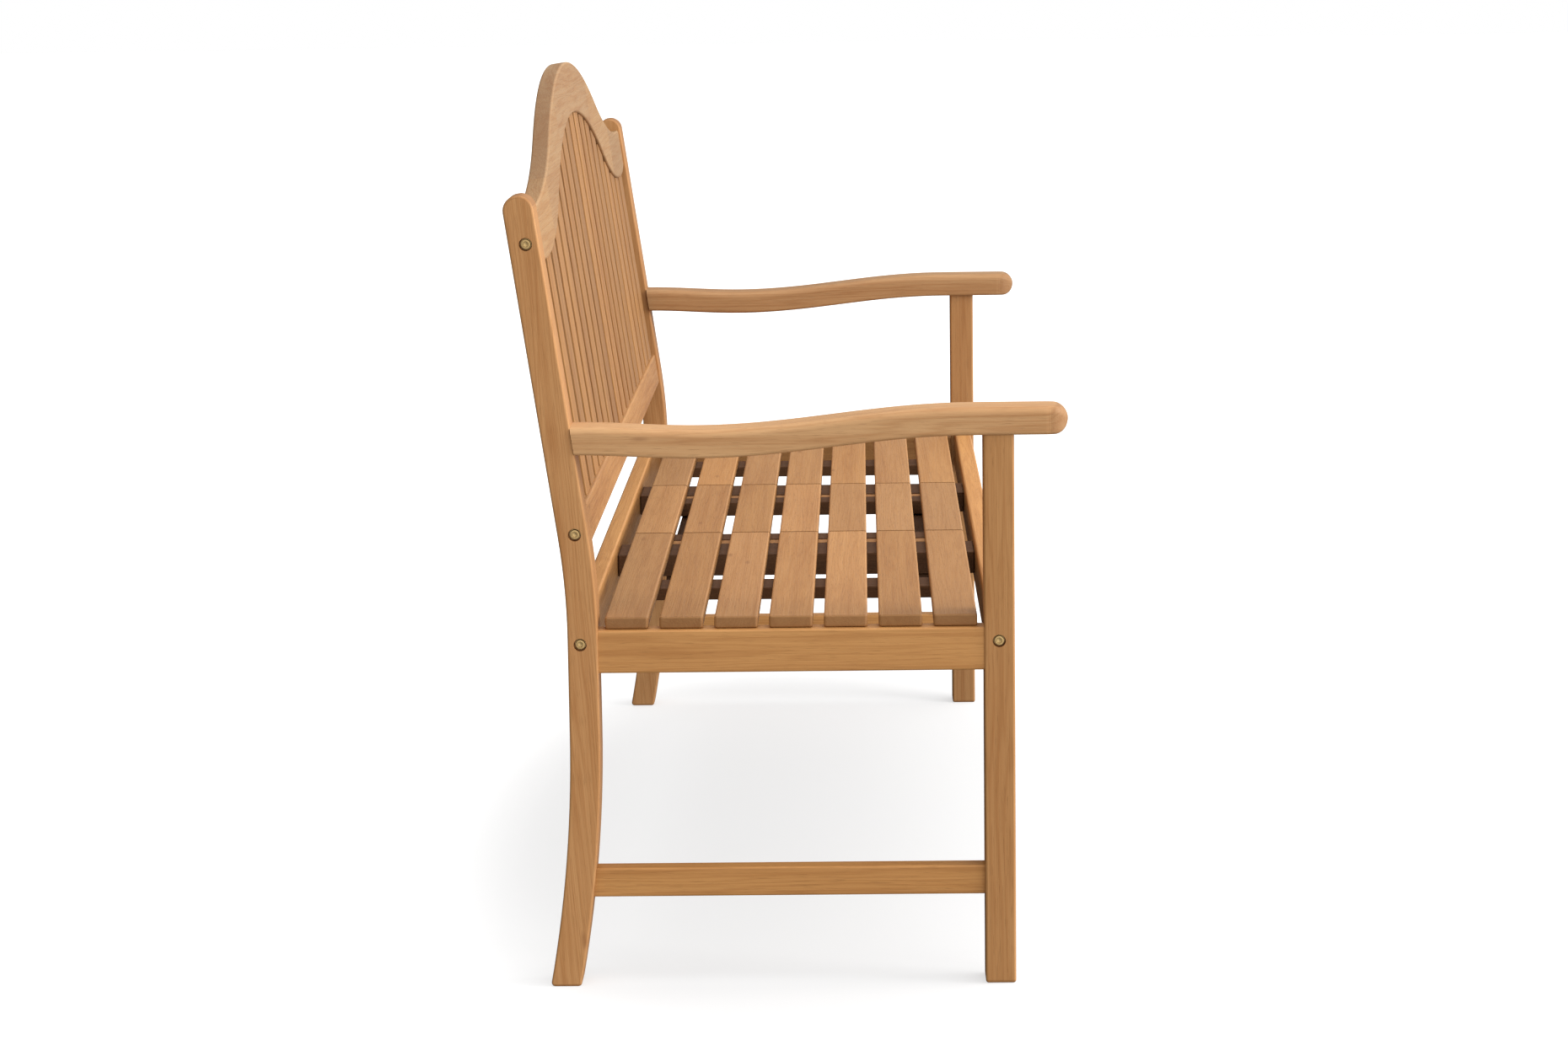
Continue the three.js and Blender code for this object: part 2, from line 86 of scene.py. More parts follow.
LEG_LOW, LEG_HIGH = corners("front_leg_right")
LEG_INNER, LEG_OUTER = LEG_LOW[X], LEG_HIGH[X]
LEG_DEPTH = LEG_HIGH[Y] - LEG_LOW[Y]
LEG_FRONT = LEG_LOW[Y]
POST_MIDDLE = corners("side_rail_right")[1][Y] + JOINT_GAP + LEG_DEPTH / 2
ARM_UNDER = LEG_HIGH[Z] + JOINT_GAP
ARM_LOW, ARM_HIGH = corners("arm_rest_right")
SLAT_NUMBERS = range(1, 1 + sum(name.startswith("seat_slat_right_") for name in frame["nodes"]))
BACK_SLAT_COUNT = sum(name.startswith("back_slat_") for name in frame["nodes"])
TABLE_LOW, TABLE_HIGH = corners("table_top")
JOINTS = {joint["name"]: joint for joint in frame["joints"]}


# ---- What a user may change ----------------------------------------------------------------

LENGTH = {"unit": "LENGTH", "subtype": "DISTANCE"}
ANGLE = {"unit": "ROTATION", "subtype": "ANGLE"}
COLOUR = {"size": 3, "subtype": "COLOR", "min": 0, "max": 1}
SHARE = {"subtype": "FACTOR", "min": 0, "max": 1}


def settings(kind, **rows):
    """Properties of one kind, from rows of a default and a description, named after their keys."""
    maker = FloatVectorProperty if "size" in kind else FloatProperty
    return {key: maker(name=key.replace("_", " ").capitalize(), description=text, default=value, **kind)
            for key, (value, text) in rows.items()}


class BenchSizes(bpy.types.PropertyGroup):
    """Shapes that the frame's boxes don't give, and fittings."""
    __annotations__ = settings(
        ANGLE,
        lean=(math.radians(8.14), "Of the back from upright"),
    ) | settings(
        LENGTH,
        knee_height=(0.472, "Where the leaning line of a rear post meets the upright one"),
        knee_reach=(0.060, "Length of the bend on each side of the knee"),
        sweep_height=(0.300, "Below this a rear post curves back"),
        sweep=(0.0285, "How far back the foot of a rear post lands"),
        arm_dip=(0.023, "How far an arm rest dips between the leg and the post"),
        arm_rise=(0.005, "How far it rises again at the post"),
        arm_dip_start=(0.050, "Start of the dip behind the front leg's front face"),
        arm_dip_end=(0.360, "Deepest place of the dip behind the front leg's front face"),
        arm_thickness=(0.0325, "Of the board of an arm rest"),
        arm_nose=(0.026, "Radius of the nose seen from above"),
        arm_round=(0.0095, "Radius of the upper long edges of an arm rest"),
        arm_ease=(0.004, "Radius of its lower long edges"),
        crest_top_middle=(1.035, "Height of the top of the crest rail at its middle"),
        crest_top_level=(0.901, "Height of its top where it comes level"),
        crest_top_arch_end=(0.356, "From the post to the end of the upper arch"),
        crest_top_level_at=(0.020, "From the post to where the top comes level"),
        crest_under_middle=(0.968, "Height of the underside of the crest rail at its middle"),
        crest_under_level=(0.836, "Height of its underside where it comes level"),
        crest_under_arch_end=(0.345, "From the post to the end of the lower arch"),
        crest_under_level_at=(0.080, "From the post to where the underside comes level"),
        crest_hook=(0.010, "Rise of the underside from its level stretch to the post"),
        crest_bolt_drop=(0.009, "Of a crest bolt below the middle of the crest rail's end"),
        rail_recess=(0.004, "Of the rails of the back behind the front of the posts"),
        rail_depth=(0.0225, "Thickness of the crest rail and the lower rail"),
        lower_rail_bottom=(0.510, "Height of the underside of the lower back rail"),
        lower_rail_height=(0.045, "Of the lower back rail, up the slope of the back"),
        back_slat_width=(0.050, "Of each slat of the back"),
        back_slat_depth=(0.015, "Of each slat of the back"),
        frame_edge=(0.003, "Radius of the long edges of legs, posts and rails"),
        slat_edge=(0.0024, "Radius of the edges of the seat slats"),
        thin_edge=(0.0016, "Radius of the edges of back slats and battens"),
        sink_radius=(0.0075, "Of the counterbores in legs and posts"),
        sink_depth=(0.008, "Of a counterbore from the outer face of the leg"),
        bolt_radius=(0.0056, "Of a bolt's head"),
        bolt_height=(0.0052, "Of a bolt's head"),
        socket_width=(0.0055, "Across the flats of the hexagon in a bolt"),
        screw_radius=(0.0038, "Of the heads of the screws under the slats"),
        rod_radius=(0.004, "Of the rods and pins of the table"),
        rod_clearance=(0.0005, "Around a rod that turns in a hole"),
        pin_head=(0.007, "Radius of the lower pins' heads"),
    )


class BenchFinish(bpy.types.PropertyGroup):
    """Oiled hardwood and zinc-plated steel."""
    __annotations__ = settings(
        COLOUR,
        frame_light=((0.565, 0.285, 0.104), "Light tone of posts and legs"),
        frame_dark=((0.39, 0.158, 0.042), "Dark tone of posts and legs"),
        arm_light=((0.56, 0.325, 0.150), "Light tone of the arm rests"),
        arm_dark=((0.37, 0.165, 0.056), "Dark tone of the arm rests"),
        crest_light=((0.40, 0.243, 0.116), "Light tone of the crest rail"),
        crest_dark=((0.30, 0.135, 0.046), "Dark tone of the crest rail"),
        rail_light=((0.56, 0.275, 0.090), "Light tone of rails and stretchers"),
        rail_dark=((0.38, 0.158, 0.042), "Dark tone of rails and stretchers"),
        slat_light=((0.44, 0.222, 0.080), "Light tone of the seat slats"),
        slat_dark=((0.30, 0.128, 0.038), "Dark tone of the seat slats"),
        back_light=((0.39, 0.196, 0.068), "Light tone of the back slats"),
        back_dark=((0.23, 0.092, 0.026), "Dark tone of the back slats"),
        # painted shade: the pieces under the seat get far darker tones, standing in for the shade they lie in
        under_light=((0.13, 0.058, 0.022), "Light tone of the pieces under the seat"),
        under_dark=((0.08, 0.033, 0.012), "Dark tone of the pieces under the seat"),
        zinc=((0.60, 0.41, 0.18), "Yellow zinc of bolts and pins"),
    ) | settings(
        LENGTH,
        ring_pitch=(0.0065, "Between one year's growth and the next"),
    ) | settings(
        SHARE,
        tone_spread=(0.10, "How much one piece's tone differs from the next"),
        figure=(0.50, "Strength of the rings and streaks"),
        pores=(0.30, "Strength of the open pores"),
        knots=(0.38, "Strength of the pin knots"),
        # darkens cut faces: partly end grain, partly painted shade on sawn edges and at the seam
        end_grain=(0.55, "How much darker the wood is where it is cut across the grain"),
        # painted highlight: the rounded edges are made lighter, standing in for light catching them
        worn=(0.16, "How much lighter the rounded edges are"),
    )


class BenchStage(bpy.types.PropertyGroup):
    """Camera, floor and light."""
    __annotations__ = settings(
        {"size": 3, "unit": "LENGTH", "subtype": "XYZ"},
        camera_place=((-4.9198, -0.0911, 1.2306), "Place of the camera"),
    ) | settings(
        ANGLE,
        camera_yaw=(math.radians(1.280), "From +X towards +Y"),
        camera_pitch=(math.radians(9.4256), "Downwards"),
        camera_roll=(math.radians(-0.8221), "About its own line of sight"),
    ) | settings(
        {"min": 1},
        camera_lens=(84.54, "Focal length in millimetres on a 36 mm frame"),
    ) | settings(
        LENGTH,
        floor_side=(60.0, "Of the square floor"),
    ) | settings(
        {"min": 0},
        room_light=(1.60, "Brightness of the bright side of the white room"),
        room_dark=(0.04, "Brightness of its dark side"),
    ) | settings(
        {"size": 3, "subtype": "XYZ"},
        room_aim=((-0.36, -0.72, 0.58), "Towards the bright side of the room"),
    ) | settings(
        {"unit": "POWER", "min": 0},
        key_power=(112.0, "Of the soft light in front of the bench"),
        top_power=(26.0, "Of the soft light above the bench"),
    ) | settings(
        SHARE,
        # painted shadow: the floor glows less under the bench, which paints the bench's soft shadow there
        floor_glow=(0.58, "How much the pale floor glows under the bench, as over-lit paper does"),
    )


# ---- Surfaces ------------------------------------------------------------------------------

ROUND_STEPS = 3             # faces across a rounded edge
CORNER_ROUND = 1.4          # radius of a corner seen flat on, to that of the edges


def unit(vector):
    return vector / np.linalg.norm(vector)


def eased(first, second, radius, ends):
    """Two long edges with their corners turned into arcs.

    At each end that is on, a corner's arc touches the long edge and the end line, radius /
    tan(half the corner's angle) from the corner, and its points swing at equal angles about its
    centre. Also gives a mask that is sin(pi t) along each arc, and 0 on the straight lengths."""
    turn = np.linspace(0, 1, ROUND_STEPS + 1)
    edges = []
    for edge, other in ((first, second), (second, first)):
        points, masks = [edge[1:-1]], [np.zeros(len(edge) - 2)]
        for end, inner, on in ((0, 1, ends[0]), (-1, -2, ends[1])):
            corner = edge[end]
            arc, mask = corner[None], np.zeros(1)
            if on:
                along, across = unit(edge[inner] - corner), unit(other[end] - corner)
                half = math.acos(np.clip(along @ across, -1, 1)) / 2
                centre = corner + unit(along + across) * radius / math.sin(half)
                touch = radius / math.tan(half)
                start, stop = corner + across * touch - centre, corner + along * touch - centre
                swing = math.pi - 2 * half
                fan = np.outer(np.sin((1 - turn) * swing), start) + np.outer(np.sin(turn * swing), stop)
                arc, mask = centre + fan / math.sin(swing), np.sin(math.pi * turn)
            if end == 0:
                points, masks = [arc] + points, [mask] + masks
            else:
                points, masks = points + [arc[::-1]], masks + [mask[::-1]]
        edges.append((np.concatenate(points), np.concatenate(masks)))
    return edges


def plate(first, second, near, far, edge, ends=(True, True), drawn=None):
    """A stack of rings for a plate between two long edges, from depth near to depth far.

    The ring runs along the first edge and back along the second. At turn a of the round, from 0
    to 90 degrees, it is drawn in by edge * (1 - sin a) at a depth of edge * (1 - cos a) from the
    face. An end that butts against a neighbour isn't drawn in. The mask is sin 2a on the round.
    ends says which ends get round corners, and drawn which are drawn in, if not the same ones."""
    drawn = drawn or ends
    first, second = np.asarray(first, float), np.asarray(second, float)
    (one, one_mask), (two, two_mask) = eased(first, second, edge * CORNER_ROUND, ends)
    ring = np.concatenate([one, two[::-1]])
    ring_mask = np.concatenate([one_mask, two_mask[::-1]])
    weight = np.ones(len(ring))
    weight[len(one) - 1], weight[-1] = drawn[1], drawn[0]
    step = np.roll(ring, -1, 0) - ring
    area = np.sum(ring[:, 0] * np.roll(ring[:, 1], -1) - ring[:, 1] * np.roll(ring[:, 0], -1))
    after = np.stack([-step[:, 1], step[:, 0]], 1) * np.sign(area)
    after /= np.maximum(np.linalg.norm(after, axis=1), 1e-12)[:, None]
    before, weight_before = np.roll(after, 1, 0), np.roll(weight, 1)
    cross = before[:, 0] * after[:, 1] - before[:, 1] * after[:, 0]
    bent = np.abs(cross) > 1e-4
    mitre = np.stack([weight_before * after[:, 1] - weight * before[:, 1],
                      weight * before[:, 0] - weight_before * after[:, 0]], 1)
    straight = (weight_before[:, None] * before + weight[:, None] * after) / 2
    draw = np.where(bent[:, None], mitre / np.where(bent, cross, 1.0)[:, None], straight)
    turn = np.linspace(0, math.pi / 2, ROUND_STEPS + 1)
    depth = edge * (1 - np.cos(turn))
    depths = np.concatenate([near + depth, (far - depth)[::-1]])
    turns = np.concatenate([turn, turn[::-1]])
    outline = ring + (edge * (1 - np.sin(turns)))[:, None, None] * draw
    deep = np.broadcast_to(depths[:, None, None], outline.shape[:2] + (1,))
    mask = np.maximum(np.sin(2 * turns)[:, None], ring_mask * np.sin(turns)[:, None])
    return np.concatenate([outline, deep], 2), mask


def board(low, high, along, edge, ends=(True, True), reach=0.0):
    """A straight board between two corners: a plate whose long edges run along one axis.

    Its depth is the thinner of the other two sides. reach lengthens it at both ends."""
    low, high = np.array(low, float), np.array(high, float)
    low[along] -= reach
    high[along] += reach
    others = [axis for axis in (X, Y, Z) if axis != along]
    depth, across = sorted(others, key=lambda axis: high[axis] - low[axis])
    first = [[low[along], low[across]], [high[along], low[across]]]
    second = [[low[along], high[across]], [high[along], high[across]]]
    rings, mask = plate(first, second, low[depth], high[depth], edge, ends)
    placed = np.empty_like(rings)
    placed[..., [along, across, depth]] = rings
    return placed, mask


def lathe(profile, axis, centre, sides=32, side=1.0, hexagons=0):
    """Rings turned about an axis through centre: profile is (radius, place along the axis).

    The last rows, as many as hexagons says, are hexagons of that inner radius: the radius at
    angle t is divided by cos(t folded into -30 to 30 degrees)."""
    profile = np.asarray(profile, float)
    angle = 2 * math.pi * (np.arange(sides) + 0.5) / sides
    fold = np.mod(angle + math.pi / 6, math.pi / 3) - math.pi / 6
    reach = np.repeat(profile[:, :1], sides, 1)
    if hexagons:
        reach[-hexagons:] /= np.cos(fold)
    first, second = [other for other in (X, Y, Z) if other != axis]
    rings = np.empty((len(profile), sides, 3))
    rings[..., axis] = centre[axis] + side * profile[:, 1:2]
    rings[..., first] = centre[first] + reach * np.cos(angle)
    rings[..., second] = centre[second] + reach * np.sin(angle)
    return rings


def skin(rings):
    """Quads over a stack of rings. Each end is closed by rungs between mirrored points."""
    count, around = rings.shape[:2]
    here = np.arange(count * around).reshape(count, around)
    after = np.roll(here, -1, axis=1)
    sides = np.stack([here[:-1], after[:-1], after[1:], here[1:]], -1).reshape(-1, 4)
    i = np.arange(around // 2 - 1)
    rung = np.stack([i, i + 1, around - 2 - i, around - 1 - i], -1)
    return np.concatenate([sides, here[0][rung][:, ::-1], here[-1][rung]])


def outward(points, quads):
    """Turns the faces round where the volume they enclose comes out negative."""
    a, b, c, d = (points[quads[:, k]] for k in range(4))
    volume = np.sum(a * np.cross(b, c)) + np.sum(a * np.cross(c, d))
    return quads if volume > 0 else quads[:, ::-1]


def surface(name, shells):
    """One mesh from several closed stacks of rings, each with its mask of eased edges."""
    points, quads, masks, base = [], [], [], 0
    for rings, mask in shells:
        shell = rings.reshape(-1, 3)
        points.append(shell)
        quads.append(outward(shell, skin(rings)) + base)
        masks.append(np.broadcast_to(mask, rings.shape[:2]).reshape(-1))
        base += len(shell)
    points, quads, masks = np.concatenate(points), np.concatenate(quads), np.concatenate(masks)
    mesh = bpy.data.meshes.new(name)
    mesh.from_pydata(points, [], quads)
    if mesh.validate():
        raise RuntimeError(f"the surface of {name} has faults")
    # the mask of eased edges is used to paint a highlight on the rounds
    store(mesh, "eased", "FLOAT", "POINT", "value", masks)
    piece = bpy.data.objects.new(name, mesh)
    bpy.context.scene.collection.objects.link(piece)
    return piece


def store(mesh, name, kind, domain, field, values):
    """Writes an array to a new attribute of a mesh."""
    data = mesh.attributes.new(name, kind, domain).data
    data.foreach_set(field, values.astype(np.float32).ravel())


def bore(piece, holes):
    """Takes round holes out of a piece along X: each is (radius, start point, how far it goes)."""
    tools = [(lathe([[radius, 0], [radius, run]], X, start), 0.0) for radius, start, run in holes]
    cutter = surface(piece.name + "_cutter", tools)
    cut = piece.modifiers.new("bore", "BOOLEAN")
    cut.operation, cut.solver, cut.object = "DIFFERENCE", "EXACT", cutter
    bpy.context.view_layer.update()
    bored = bpy.data.meshes.new_from_object(piece.evaluated_get(bpy.context.evaluated_depsgraph_get()))
    piece.modifiers.remove(cut)
    old, piece.data = piece.data, bored
    bored.name = piece.name
    bpy.data.meshes.remove(old)
    bpy.data.objects.remove(cutter)


# ---- Timber --------------------------------------------------------------------------------

PITH_NEAR, PITH_FAR = 0.030, 0.085      # of a tree's pith from the middle of a board
GRAIN_RUN = 40.0                        # length of tree that the boards come from
SHARP = math.radians(40)                # edges that turn more than this stay sharp


def grain_axes(along):
    """Unit vectors along the grain, across it and through the board."""
    along = unit(np.asarray(along, float))
    helper = np.array([1.0, 0, 0]) if abs(along[0]) < 0.7 else np.array([0, 1.0, 0])
    across = unit(np.cross(along, helper))
    return np.stack([along, across, np.cross(along, across)])


def saw(piece, along, tone):
    """Gives a piece its own cut of timber, as attributes.

    "grain" is each point's place along the grain, across it and through the board, measured
    from a pith that lies at a chance distance and angle outside the board. "tone" is the piece's
    own tone, a chance shade either side of white. "end_grain" is the size of the cosine between
    a face and the grain, from 0 on a long face to 1 on a sawn end."""
    chance = np.random.default_rng(zlib.crc32(piece.name.encode()))
    mesh, axes = piece.data, grain_axes(along)
    points = np.empty(len(mesh.vertices) * 3, np.float32)
    mesh.vertices.foreach_get("co", points)
    points = points.reshape(-1, 3).astype(float)
    place = (points - (points.min(0) + points.max(0)) / 2) @ axes.T
    angle, distance = chance.uniform(0, 2 * math.pi), chance.uniform(PITH_NEAR, PITH_FAR)
    place += [chance.uniform(0, GRAIN_RUN), distance * math.cos(angle), distance * math.sin(angle)]
    shade, warmth = chance.uniform(-1, 1), chance.uniform(-1, 1)
    spread = bpy.context.scene.bench_finish.tone_spread
    tint = tone * (1 + spread * np.array([shade + 0.15 * warmth, shade, shade - 0.55 * warmth]))
    facing = np.empty(len(mesh.polygons) * 3, np.float32)
    mesh.polygons.foreach_get("normal", facing)
    store(mesh, "grain", "FLOAT_VECTOR", "POINT", "vector", place)
    store(mesh, "tone", "FLOAT_COLOR", "POINT", "color", np.tile(np.append(tint, 1.0), (len(points), 1)))
    store(mesh, "end_grain", "FLOAT", "FACE", "value", np.abs(facing.reshape(-1, 3) @ axes[0]))


def soften(piece):
    """Shades rounds smoothly and keeps flats flat, by weighting normals by face area."""
    piece.data.shade_smooth()
    piece.data.set_sharp_from_angle(angle=SHARP)
    piece.modifiers.new("flats", "WEIGHTED_NORMAL").keep_sharp = True


def fit_out(piece, material, body, *nodes):
    """Gives a piece its shading, its finish and the body it rides on, and hides the nodes it stands for."""
    soften(piece)
    maker, slot = FINISHES[material]
    made = bpy.data.materials.get(material) or maker(material, bpy.context.scene.bench_finish)
    piece.data.materials.clear()
    piece.data.materials.append(made)
    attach(piece, body)
    if nodes:
        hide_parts(*nodes)


def timber(name, shells, along, material, node, body="root", holes=(), tone=1.0):
    """A piece of wood: its surface, holes and cut of timber. along is the way its grain runs."""
    piece = surface(name, shells)
    if holes:
        bore(piece, holes)
    saw(piece, along, tone)
    fit_out(piece, material, body, node)


def plank(name, node, axis, material, edge, ends=(True, True), reach=0.0, box=None, **rest):
    """A straight board in the place of a node, or of the part of it that box gives."""
    shell = board(*(box or corners(node)), axis, edge, ends, reach)
    timber(name, [shell], np.eye(3)[axis], material, node, **rest)


def fitting(name, shells, body="root", *nodes):
    """A piece of metal."""
    fit_out(surface(name, shells), "zinc_plate", body, *nodes)


# ---- Materials -----------------------------------------------------------------------------

# how much each noise is stretched along and across the grain, its detail, and the part of its
# range that counts
FIGURE = {
    "Wander": (1.2, 26.0, 3.0, 0.20, 0.80),
    "Streak": (1.3, 62.0, 4.0, 0.38, 0.72),
    "Fibre": (9.0, 900.0, 2.0, 0.30, 0.70),
    "Pore": (42.0, 1400.0, 1.0, 0.60, 0.72),
    "Patch": (3.0, 11.0, 2.0, 0.30, 0.70),
}
NOISE_ROUGHNESS = 0.55
RING_WANDER = 0.034                     # how far the rings wander along the grain
KNOT_CELLS = (4.5, 17.0, 17.0)
KNOT_EDGE, KNOT_HEART = 0.075, 0.02     # distances from a cell's point
CUT_ACROSS = 0.04, 0.32                 # end grain starts to show, and shows fully; the steep ramp also paints shade on sloped sawn edges and on the slat ends at the seam
FIBRE_SHARE = 0.25                      # of the figure
RELIEF = {"Fibre": 0.5, "Ring": 0.35, "Pore": -0.9}


def add(tree, kind, inputs=(), **values):
    """Adds a shader node at the end of the row. inputs gives a value, or a socket to link, for each
    input's name or number, and the rest are the node's own settings."""
    made = tree.nodes.new(kind)
    made.location = (200 * len(tree.nodes), 0)
    for key, value in values.items():
        setattr(made, key, value)
    for key, value in dict(inputs).items():
        if isinstance(value, bpy.types.NodeSocket):
            tree.links.new(value, made.inputs[key])
        else:
            made.inputs[key].default_value = value
    return made


def ramp(tree, value, start, stop, to=(0.0, 1.0), kind="SMOOTHSTEP"):
    """Takes a value between start and stop to one between the ends of to: the smooth step
    3 t^2 - 2 t^3, or a straight line."""
    inputs = {"Value": value, "From Min": start, "From Max": stop, "To Min": to[0], "To Max": to[1]}
    return add(tree, "ShaderNodeMapRange", inputs, interpolation_type=kind).outputs["Result"]


def blend(tree, factor, first, second, label, mix="MIX"):
    """A colour mix; each of factor, first and second is a socket or a value."""
    inputs = {0: factor, 6: first, 7: second}
    return add(tree, "ShaderNodeMix", inputs, data_type="RGBA", blend_type=mix, label=label).outputs[2]


def toned(colour, red, green=None, blue=None, lift=0.0):
    """A colour with its channels multiplied, all by the same factor where only one is given."""
    factors = (red, green or red, blue or red)
    return (*(min(1.0, factor * value + lift) for factor, value in zip(factors, colour)), 1.0)


def new_material(name):
    material = bpy.data.materials.new(name)
    material.use_nodes = True
    material.node_tree.nodes.clear()
    return material


def shade_with(tree, inputs):
    """Adds the surface shader and the material's output."""
    shader = add(tree, "ShaderNodeBsdfPrincipled", inputs)
    add(tree, "ShaderNodeOutputMaterial", {"Surface": shader.outputs["BSDF"]})


def timber_figure():
    """The figure of sawn hardwood as masks, worked out from the grain coordinates.

    Ring is (0.5 + 0.5 sin(2 pi d / pitch)) squared, where d is the distance from the pith plus a
    slow wander along the grain. Streak, fibre and pore are noises stretched along the grain, at
    about 15, 1 and 0.7 mm across it. Knot is near 1 close to the rare points of a cell pattern,
    and Patch is a slow change of tone over a hand's length."""
    group = bpy.data.node_groups.get("timber_figure")
    if group:
        return group
    group = bpy.data.node_groups.new("timber_figure", "ShaderNodeTree")
    socket = group.interface.new_socket
    socket("Grain", in_out="INPUT", socket_type="NodeSocketVector")
    for name, value in (("Ring Pitch", 0.0065), ("Wander", RING_WANDER)):
        socket(name, in_out="INPUT", socket_type="NodeSocketFloat").default_value = value
    for name in ("Ring", "Streak", "Fibre", "Pore", "Knot", "Patch"):
        socket(name, in_out="OUTPUT", socket_type="NodeSocketFloat")
    given = add(group, "NodeGroupInput").outputs

    def stretched(*stretch):
        inputs = {0: given["Grain"], 1: stretch}
        return add(group, "ShaderNodeVectorMath", inputs, operation="MULTIPLY").outputs["Vector"]

    def noise(name):
        along, across, detail, start, stop = FIGURE[name]
        inputs = {"Vector": stretched(along, across, across), "Scale": 1.0, "Detail": detail,
                  "Roughness": NOISE_ROUGHNESS}
        return ramp(group, add(group, "ShaderNodeTexNoise", inputs, label=name).outputs["Fac"], start, stop)

    def worked(operation, *inputs):
        return add(group, "ShaderNodeMath", dict(enumerate(inputs)), operation=operation).outputs[0]

    from_pith = add(group, "ShaderNodeVectorMath", {0: stretched(0, 1, 1)}, operation="LENGTH")
    wander = worked("MULTIPLY", noise("Wander"), given["Wander"])
    turns = worked("DIVIDE", worked("ADD", from_pith.outputs["Value"], wander), given["Ring Pitch"])
    wave = worked("SINE", worked("MULTIPLY", turns, 2 * math.pi))
    cells = add(group, "ShaderNodeTexVoronoi", {"Vector": stretched(*KNOT_CELLS), "Scale": 1.0})
    masks = {name: noise(name) for name in ("Streak", "Fibre", "Pore", "Patch")}
    masks["Ring"] = worked("POWER", worked("MULTIPLY_ADD", wave, 0.5, 0.5), 2.0)
    masks["Knot"] = ramp(group, cells.outputs["Distance"], KNOT_EDGE, KNOT_HEART)
    add(group, "NodeGroupOutput", masks)
    return group


def oiled_wood(name, finish, light, dark, ring=0.55, streak=0.75, patch=0.35, roughness=0.5, worn=1.0):
    """Oiled timber: a light and a dark tone mixed by the figure, toned per piece, with darker pores
    and knots, a painted highlight on the eased edges, and cut faces darkened partly as end grain and
    partly as painted shade. Relief and roughness follow the fibres."""
    material = new_material(name)
    tree = material.node_tree

    def attribute(key):
        return add(tree, "ShaderNodeAttribute", attribute_name=key).outputs

    def weighed(mask, weight, plus=0.0):
        return add(tree, "ShaderNodeMath", {0: mask, 1: weight, 2: plus}, operation="MULTIPLY_ADD").outputs[0]

    inputs = {"Grain": attribute("grain")["Vector"], "Ring Pitch": finish.ring_pitch}
    figure = add(tree, "ShaderNodeGroup", inputs, node_tree=timber_figure()).outputs
    amount = 0.0
    for mask, share in (("Ring", ring), ("Streak", streak), ("Patch", patch), ("Fibre", FIBRE_SHARE)):
        amount = weighed(figure[mask], share * finish.figure, amount)
    amount.node.use_clamp = True
    colour = blend(tree, amount, toned(light, 1.0), toned(dark, 1.0), "figure")
    colour = blend(tree, 1.0, colour, attribute("tone")["Color"], "tone of the piece", "MULTIPLY")
    pores = weighed(figure["Pore"], finish.pores)
    colour = blend(tree, pores, colour, toned(dark, 0.45), "pores")
    knots = weighed(figure["Knot"], finish.knots)
    colour = blend(tree, knots, colour, toned(dark, 0.50, 0.38, 0.30), "knots")
    # partly end grain, partly painted shade: faces cut across the grain are darkened
    ends = weighed(ramp(tree, attribute("end_grain")["Fac"], *CUT_ACROSS), finish.end_grain)
    colour = blend(tree, ends, colour, toned(dark, 0.62), "end grain")
    # painted highlight: the eased edges are mixed towards a paler tone
    edges = weighed(attribute("eased")["Fac"], finish.worn * worn)
    colour = blend(tree, edges, colour, toned(light, 1.35, lift=0.03), "eased edges")
    shine = ramp(tree, figure["Fibre"], 0.0, 1.0, (roughness - 0.05, roughness + 0.1), "LINEAR")
    relief = 0.0
    for mask, height in RELIEF.items():
        relief = weighed(figure[mask], height, relief)
    bump = add(tree, "ShaderNodeBump", {"Strength": 0.30, "Distance": 0.0006, "Height": relief})
    shade_with(tree, {"Base Color": colour, "Roughness": shine, "Normal": bump.outputs["Normal"],
                      "IOR": 1.47, "Specular IOR Level": 0.28})
    return material


def frame_wood(name, finish):
    return oiled_wood(name, finish, finish.frame_light, finish.frame_dark)


def arm_wood(name, finish):
    return oiled_wood(name, finish, finish.arm_light, finish.arm_dark)


def crest_wood(name, finish):
    return oiled_wood(name, finish, finish.crest_light, finish.crest_dark)


def rail_wood(name, finish):
    return oiled_wood(name, finish, finish.rail_light, finish.rail_dark)


def slat_wood(name, finish):
    return oiled_wood(name, finish, finish.slat_light, finish.slat_dark, ring=0.4, streak=0.7)


def back_wood(name, finish):
    return oiled_wood(name, finish, finish.back_light, finish.back_dark)


# painted shade: a dark copy of the timber for the pieces in the shade under the seat
def under_wood(name, finish):
    return oiled_wood(name, finish, finish.under_light, finish.under_dark, roughness=0.68, worn=0.4)


def zinc_plate(name, finish):
    """Yellow zinc: a metal whose tone and gloss drift over a few millimetres."""
    material = new_material(name)
    tree = material.node_tree
    place = add(tree, "ShaderNodeTexCoord").outputs["Object"]
    drift = add(tree, "ShaderNodeTexNoise", {"Vector": place, "Scale": 260.0, "Detail": 3.0}).outputs["Fac"]
    tone = blend(tree, drift, toned(finish.zinc, 1.0), toned(finish.zinc, 0.72), "plating")
    gloss = ramp(tree, drift, 0.0, 1.0, (0.24, 0.42), "LINEAR")
    shade_with(tree, {"Base Color": tone, "Roughness": gloss, "Metallic": 1.0})
    return material


FINISHES = {
    "oiled_frame_wood": (frame_wood, "frame_wood"),
    "oiled_arm_wood": (arm_wood, "frame_wood"),
    "oiled_crest_wood": (crest_wood, "frame_wood"),
    "oiled_rail_wood": (rail_wood, "rail_wood"),
    "oiled_slat_wood": (slat_wood, "slat_wood"),
    "oiled_back_wood": (back_wood, "back_slat_wood"),
    "bare_under_wood": (under_wood, "under_wood"),
    "zinc_plate": (zinc_plate, "pin_steel"),
}


